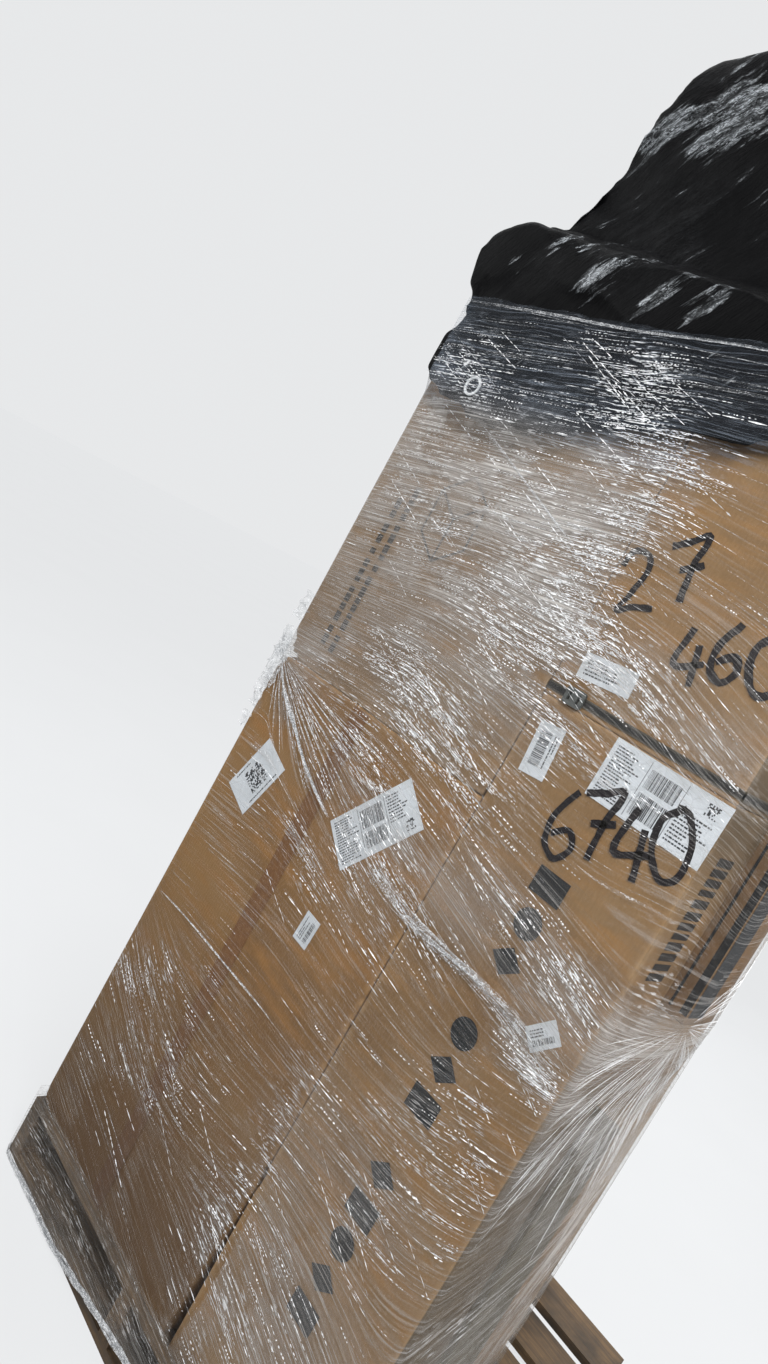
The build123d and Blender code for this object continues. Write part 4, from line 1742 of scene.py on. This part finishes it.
def let_down(piece, shell):
    """Lets the bag's film settle as slack cloth on the heap inside, tied round its skirt."""
    inner = shell.copy()
    drawn_in(inner, lambda p: heap_inset + heap_sway * ripple(p.x * 6, p.y * 6, p.z * 6))
    heap = added("heap_inside", inner)
    heap.modifiers.new("touch", "COLLISION")
    heap.collision.thickness_outer = heap_skin
    group = piece.vertex_groups.new(name="tied")
    tie = load_top * MM - bag_tie
    for vertex in shell.vertices:
        weight = 1 - smooth_step(tie, tie + bag_tie_fade, vertex.co.z)
        if weight > 0:
            group.add([vertex.index], weight, "REPLACE")
    cloth = piece.modifiers.new("slack", "CLOTH")
    for key, setting in cloth_settings.items():
        setattr(cloth.settings, key, setting)
    cloth.collision_settings.distance_min = cloth_gap
    for step in range(1, bag_steps + 1):
        bpy.context.scene.frame_set(step)
    fallen = settled(piece)
    bpy.context.scene.frame_set(1)
    piece.modifiers.clear()
    piece.vertex_groups.clear()
    bpy.data.objects.remove(heap)
    return fallen


def over_fold(along, up):
    """Height over the fold line where the heap rises behind the front roll of the bag."""
    share = (along - fold_left[0]) / (fold_right[0] - fold_left[0])
    return up - (fold_left[1] + (fold_right[1] - fold_left[1]) * share + 8 * ripple(along / 70, 3.0))


def bag_spot(point):
    """(along, back, up) of a place, in millimetres on the load."""
    return point.x / MM - load_left, point.y / MM - load_front, point.z / MM - deck_top


def crumple_at(point):
    """How crumpled the bag is at a place, from 0 to 1."""
    along, back, up = bag_spot(point)
    total = 0
    for (a, b, u, reach), share in crumples:
        away = (along - a) ** 2 + (back - b) ** 2 + (up - u) ** 2
        total += share * math.exp(-away / reach ** 2)
    return min(1.0, total)


def make_bag(finish):
    """The black bag over its heap, with a skirt that the wrap holds down."""
    low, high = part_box("black_bag")
    shell = even_shell("black_bag", bag_voxel)
    drawn_in(shell, lambda p: -bag_swell - 0.004 * ripple(p.x * 16, p.y * 16, p.z * 16))
    rest = [vertex.co.copy() for vertex in shell.vertices]
    piece = added("bag_over_heap", shell)
    fallen = let_down(piece, shell)
    for vertex, before in zip(fallen.vertices, rest):
        move = vertex.co - before
        vertex.co = before + move * min(1.0, bag_move_cap / max(move.length, 1e-6))
    piece.data = fallen
    rounder = piece.modifiers.new("round", "SUBSURF")
    rounder.levels = rounder.render_levels = 2
    fine = settled(piece)
    piece.modifiers.clear()
    piece.data = fine
    turn = Matrix.Rotation(math.radians(bag_pull), 3, "Y")

    def fold_depth(p):
        """How far the bag is drawn in: folds, then the roll at its front with the dip behind it."""
        q = turn @ p
        folds = abs(ripple(q.x * 30, q.y * 22, q.z * 7)) * 0.012
        small = abs(ripple(q.x * 62, q.y * 40, q.z * 20)) * 0.005
        broad = abs(ripple(p.x * 4 + p.z * 2, p.y * 4, p.z * 3)) * 0.012
        along, back, up = bag_spot(p)
        depth = (folds + small) * (0.12 + 0.88 * crumple_at(p)) + broad
        over = over_fold(along, up)
        forward = 1 - smooth_step(110, 200, back)
        depth += forward * crease_depth * math.exp(-(over / 17) ** 2)
        depth += forward * dip_depth * smooth_step(0, 26, over) * (1 - smooth_step(70, 260, over))
        depth -= forward * roll_rise * math.exp(-((over + 62) / 44) ** 2)
        return depth

    drawn_in(fine, fold_depth)
    ceiling = high.z + 0.7 * bag_lift
    inside = []
    for vertex in fine.vertices:
        x, y, z = vertex.co
        z += bag_lift * smooth_step(high.z - bag_lift_from, high.z - bag_lift_full, z)
        inside.extend((min(max(x, low.x), high.x), min(max(y, low.y), high.y),
                       min(max(z, low.z), ceiling)))
    fine.vertices.foreach_set("co", inside)
    fine.attributes.new("crumple", "FLOAT", "POINT").data.foreach_set(
        "value", [crumple_at(vertex.co) for vertex in fine.vertices])
    fine.materials.clear()
    fine.materials.append(finish)
    fine.polygons.foreach_set("use_smooth", [True] * len(fine.polygons))
    fine.update()
    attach(piece, "root")
    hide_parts("black_bag")


# Stage
pale_backdrop = (0.80, 0.81, 0.82, 1.0)
backdrop_strength = 1.37
room_light = (0.96, 0.98, 1.0, 1.0)
room_strength = 0.34
floor_reach = 30.0
floor_glow = 0.66
lamps = {
    "key": {"place": (2.3, -2.2, 3.7), "aim": (0.15, -0.5, 1.55), "size": 1.1, "power": 130},
    "fill": {"place": (-2.6, -4.0, 2.8), "aim": (0.0, -0.4, 1.1), "size": 2.4, "power": 62},
    "top": {"place": (0.3, 0.5, 5.2), "aim": (0.0, 0.0, 1.0), "size": 2.4, "power": 122},
    "side": {"place": (3.4, 1.6, 2.6), "aim": (0.2, 0.0, 1.2), "size": 1.6, "power": 45},
    "back": {"place": (-1.6, 4.2, 3.0), "aim": (0.0, 0.3, 1.1), "size": 2.2, "power": 70},
}


def make_stage():
    """A pale floor, a pale surround and soft lamps."""
    mesh = bpy.data.meshes.new("floor")
    r = floor_reach
    mesh.from_pydata([(-r, -r, 0), (r, -r, 0), (r, r, 0), (-r, r, 0)], [], [(0, 1, 2, 3)])
    floor = added("floor", mesh)
    pale = Finish("pale_floor")
    worn = pale.cloud(pale.place(), 1.5, detail=3)
    colour = pale.blend(pale.spread(worn, 0.3, 0.7), shade(148, 150, 152), shade(156, 158, 160))
    matt = pale.principled(Base_Color=colour, Roughness=0.75)
    plain = pale.node("ShaderNodeEmission", {}, {"Color": pale_backdrop, "Strength": backdrop_strength})
    mixed = pale.node("ShaderNodeMixShader", {}, {0: pale.shown() * floor_glow, 1: matt, 2: plain})
    pale.node("ShaderNodeOutputMaterial", {}, {"Surface": mixed})
    mesh.materials.append(pale.material)

    studio = Finish("studio", "worlds")
    lit = studio.node("ShaderNodeBackground", {}, {"Color": room_light, "Strength": room_strength})
    seen = studio.node("ShaderNodeBackground", {}, {"Color": pale_backdrop})
    mixed = studio.node("ShaderNodeMixShader", {}, {0: studio.shown(), 1: lit, 2: seen})
    studio.node("ShaderNodeOutputWorld", {}, {"Surface": mixed})
    bpy.context.scene.world = studio.material

    for name, lamp in lamps.items():
        light = bpy.data.lights.new(name, "AREA")
        light.size = lamp["size"]
        light.energy = lamp["power"]
        placed = added(name, light)
        placed.location = lamp["place"]
        aim = Vector(lamp["aim"]) - Vector(lamp["place"])
        placed.rotation_euler = aim.to_track_quat("-Z", "Y").to_euler()


def repaint(node, finish):
    """Gives a carried-over CAD node its finish."""
    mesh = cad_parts[node].data
    mesh.materials.clear()
    mesh.materials.append(finish)


def finish_cad_nodes():
    """Finishes of the CAD nodes that keep their own shape."""
    long_wood = wood_finish("pallet_wood_long", "Y")
    cross_wood = wood_finish("pallet_wood_cross", "X")
    paper = paper_finish("label_paper")
    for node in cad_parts:
        if node.startswith("stringer"):
            repaint(node, long_wood)
        elif "board" in node:
            repaint(node, cross_wood)
        elif node.startswith("label"):
            repaint(node, paper)
    repaint("strap_band", strap_finish())
    repaint("strap_buckle", plastic_finish("buckle_plastic", (56, 60, 58), 0.35))
    repaint("bag_eyelet", plastic_finish("eyelet_plastic", (236, 238, 240), 0.4))


make_camera()
make_stage()
make_cartons()
finish_cad_nodes()
make_label_prints(ink_finish("label_ink", (52, 54, 58), 0.3))
make_pen_numbers(ink_finish("marker_ink", (9, 5, 11), 0.08))
carton_ink = ink_finish("carton_ink", (26, 29, 32), 0.3)
make_big_print(carton_ink)
faded_ink = ink_finish("faded_ink", (30, 27, 25), 0.3)
make_small_print(faded_ink)
make_side_print(carton_ink, faded_ink)
make_tape(tape_finish("brown_tape"))
make_bag(bag_finish())
clear = film_finish("stretch_film_finish")
bright = crease_glint_finish()
bunched = bunched_film_finish("bunched_film", 0.55)
make_wrap(clear)
make_creases(bright)
make_pull_lines(bunched_film_finish("thin_fold", 0.35))
make_side_lines(bright)
make_ropes(bunched, bunched_film_finish("film_fold", 0.32))
make_tufts(bunched_film_finish("film_tuft", 0.40))
make_apron(clear, bunched)

bpy.context.scene.view_settings.view_transform = "Standard"
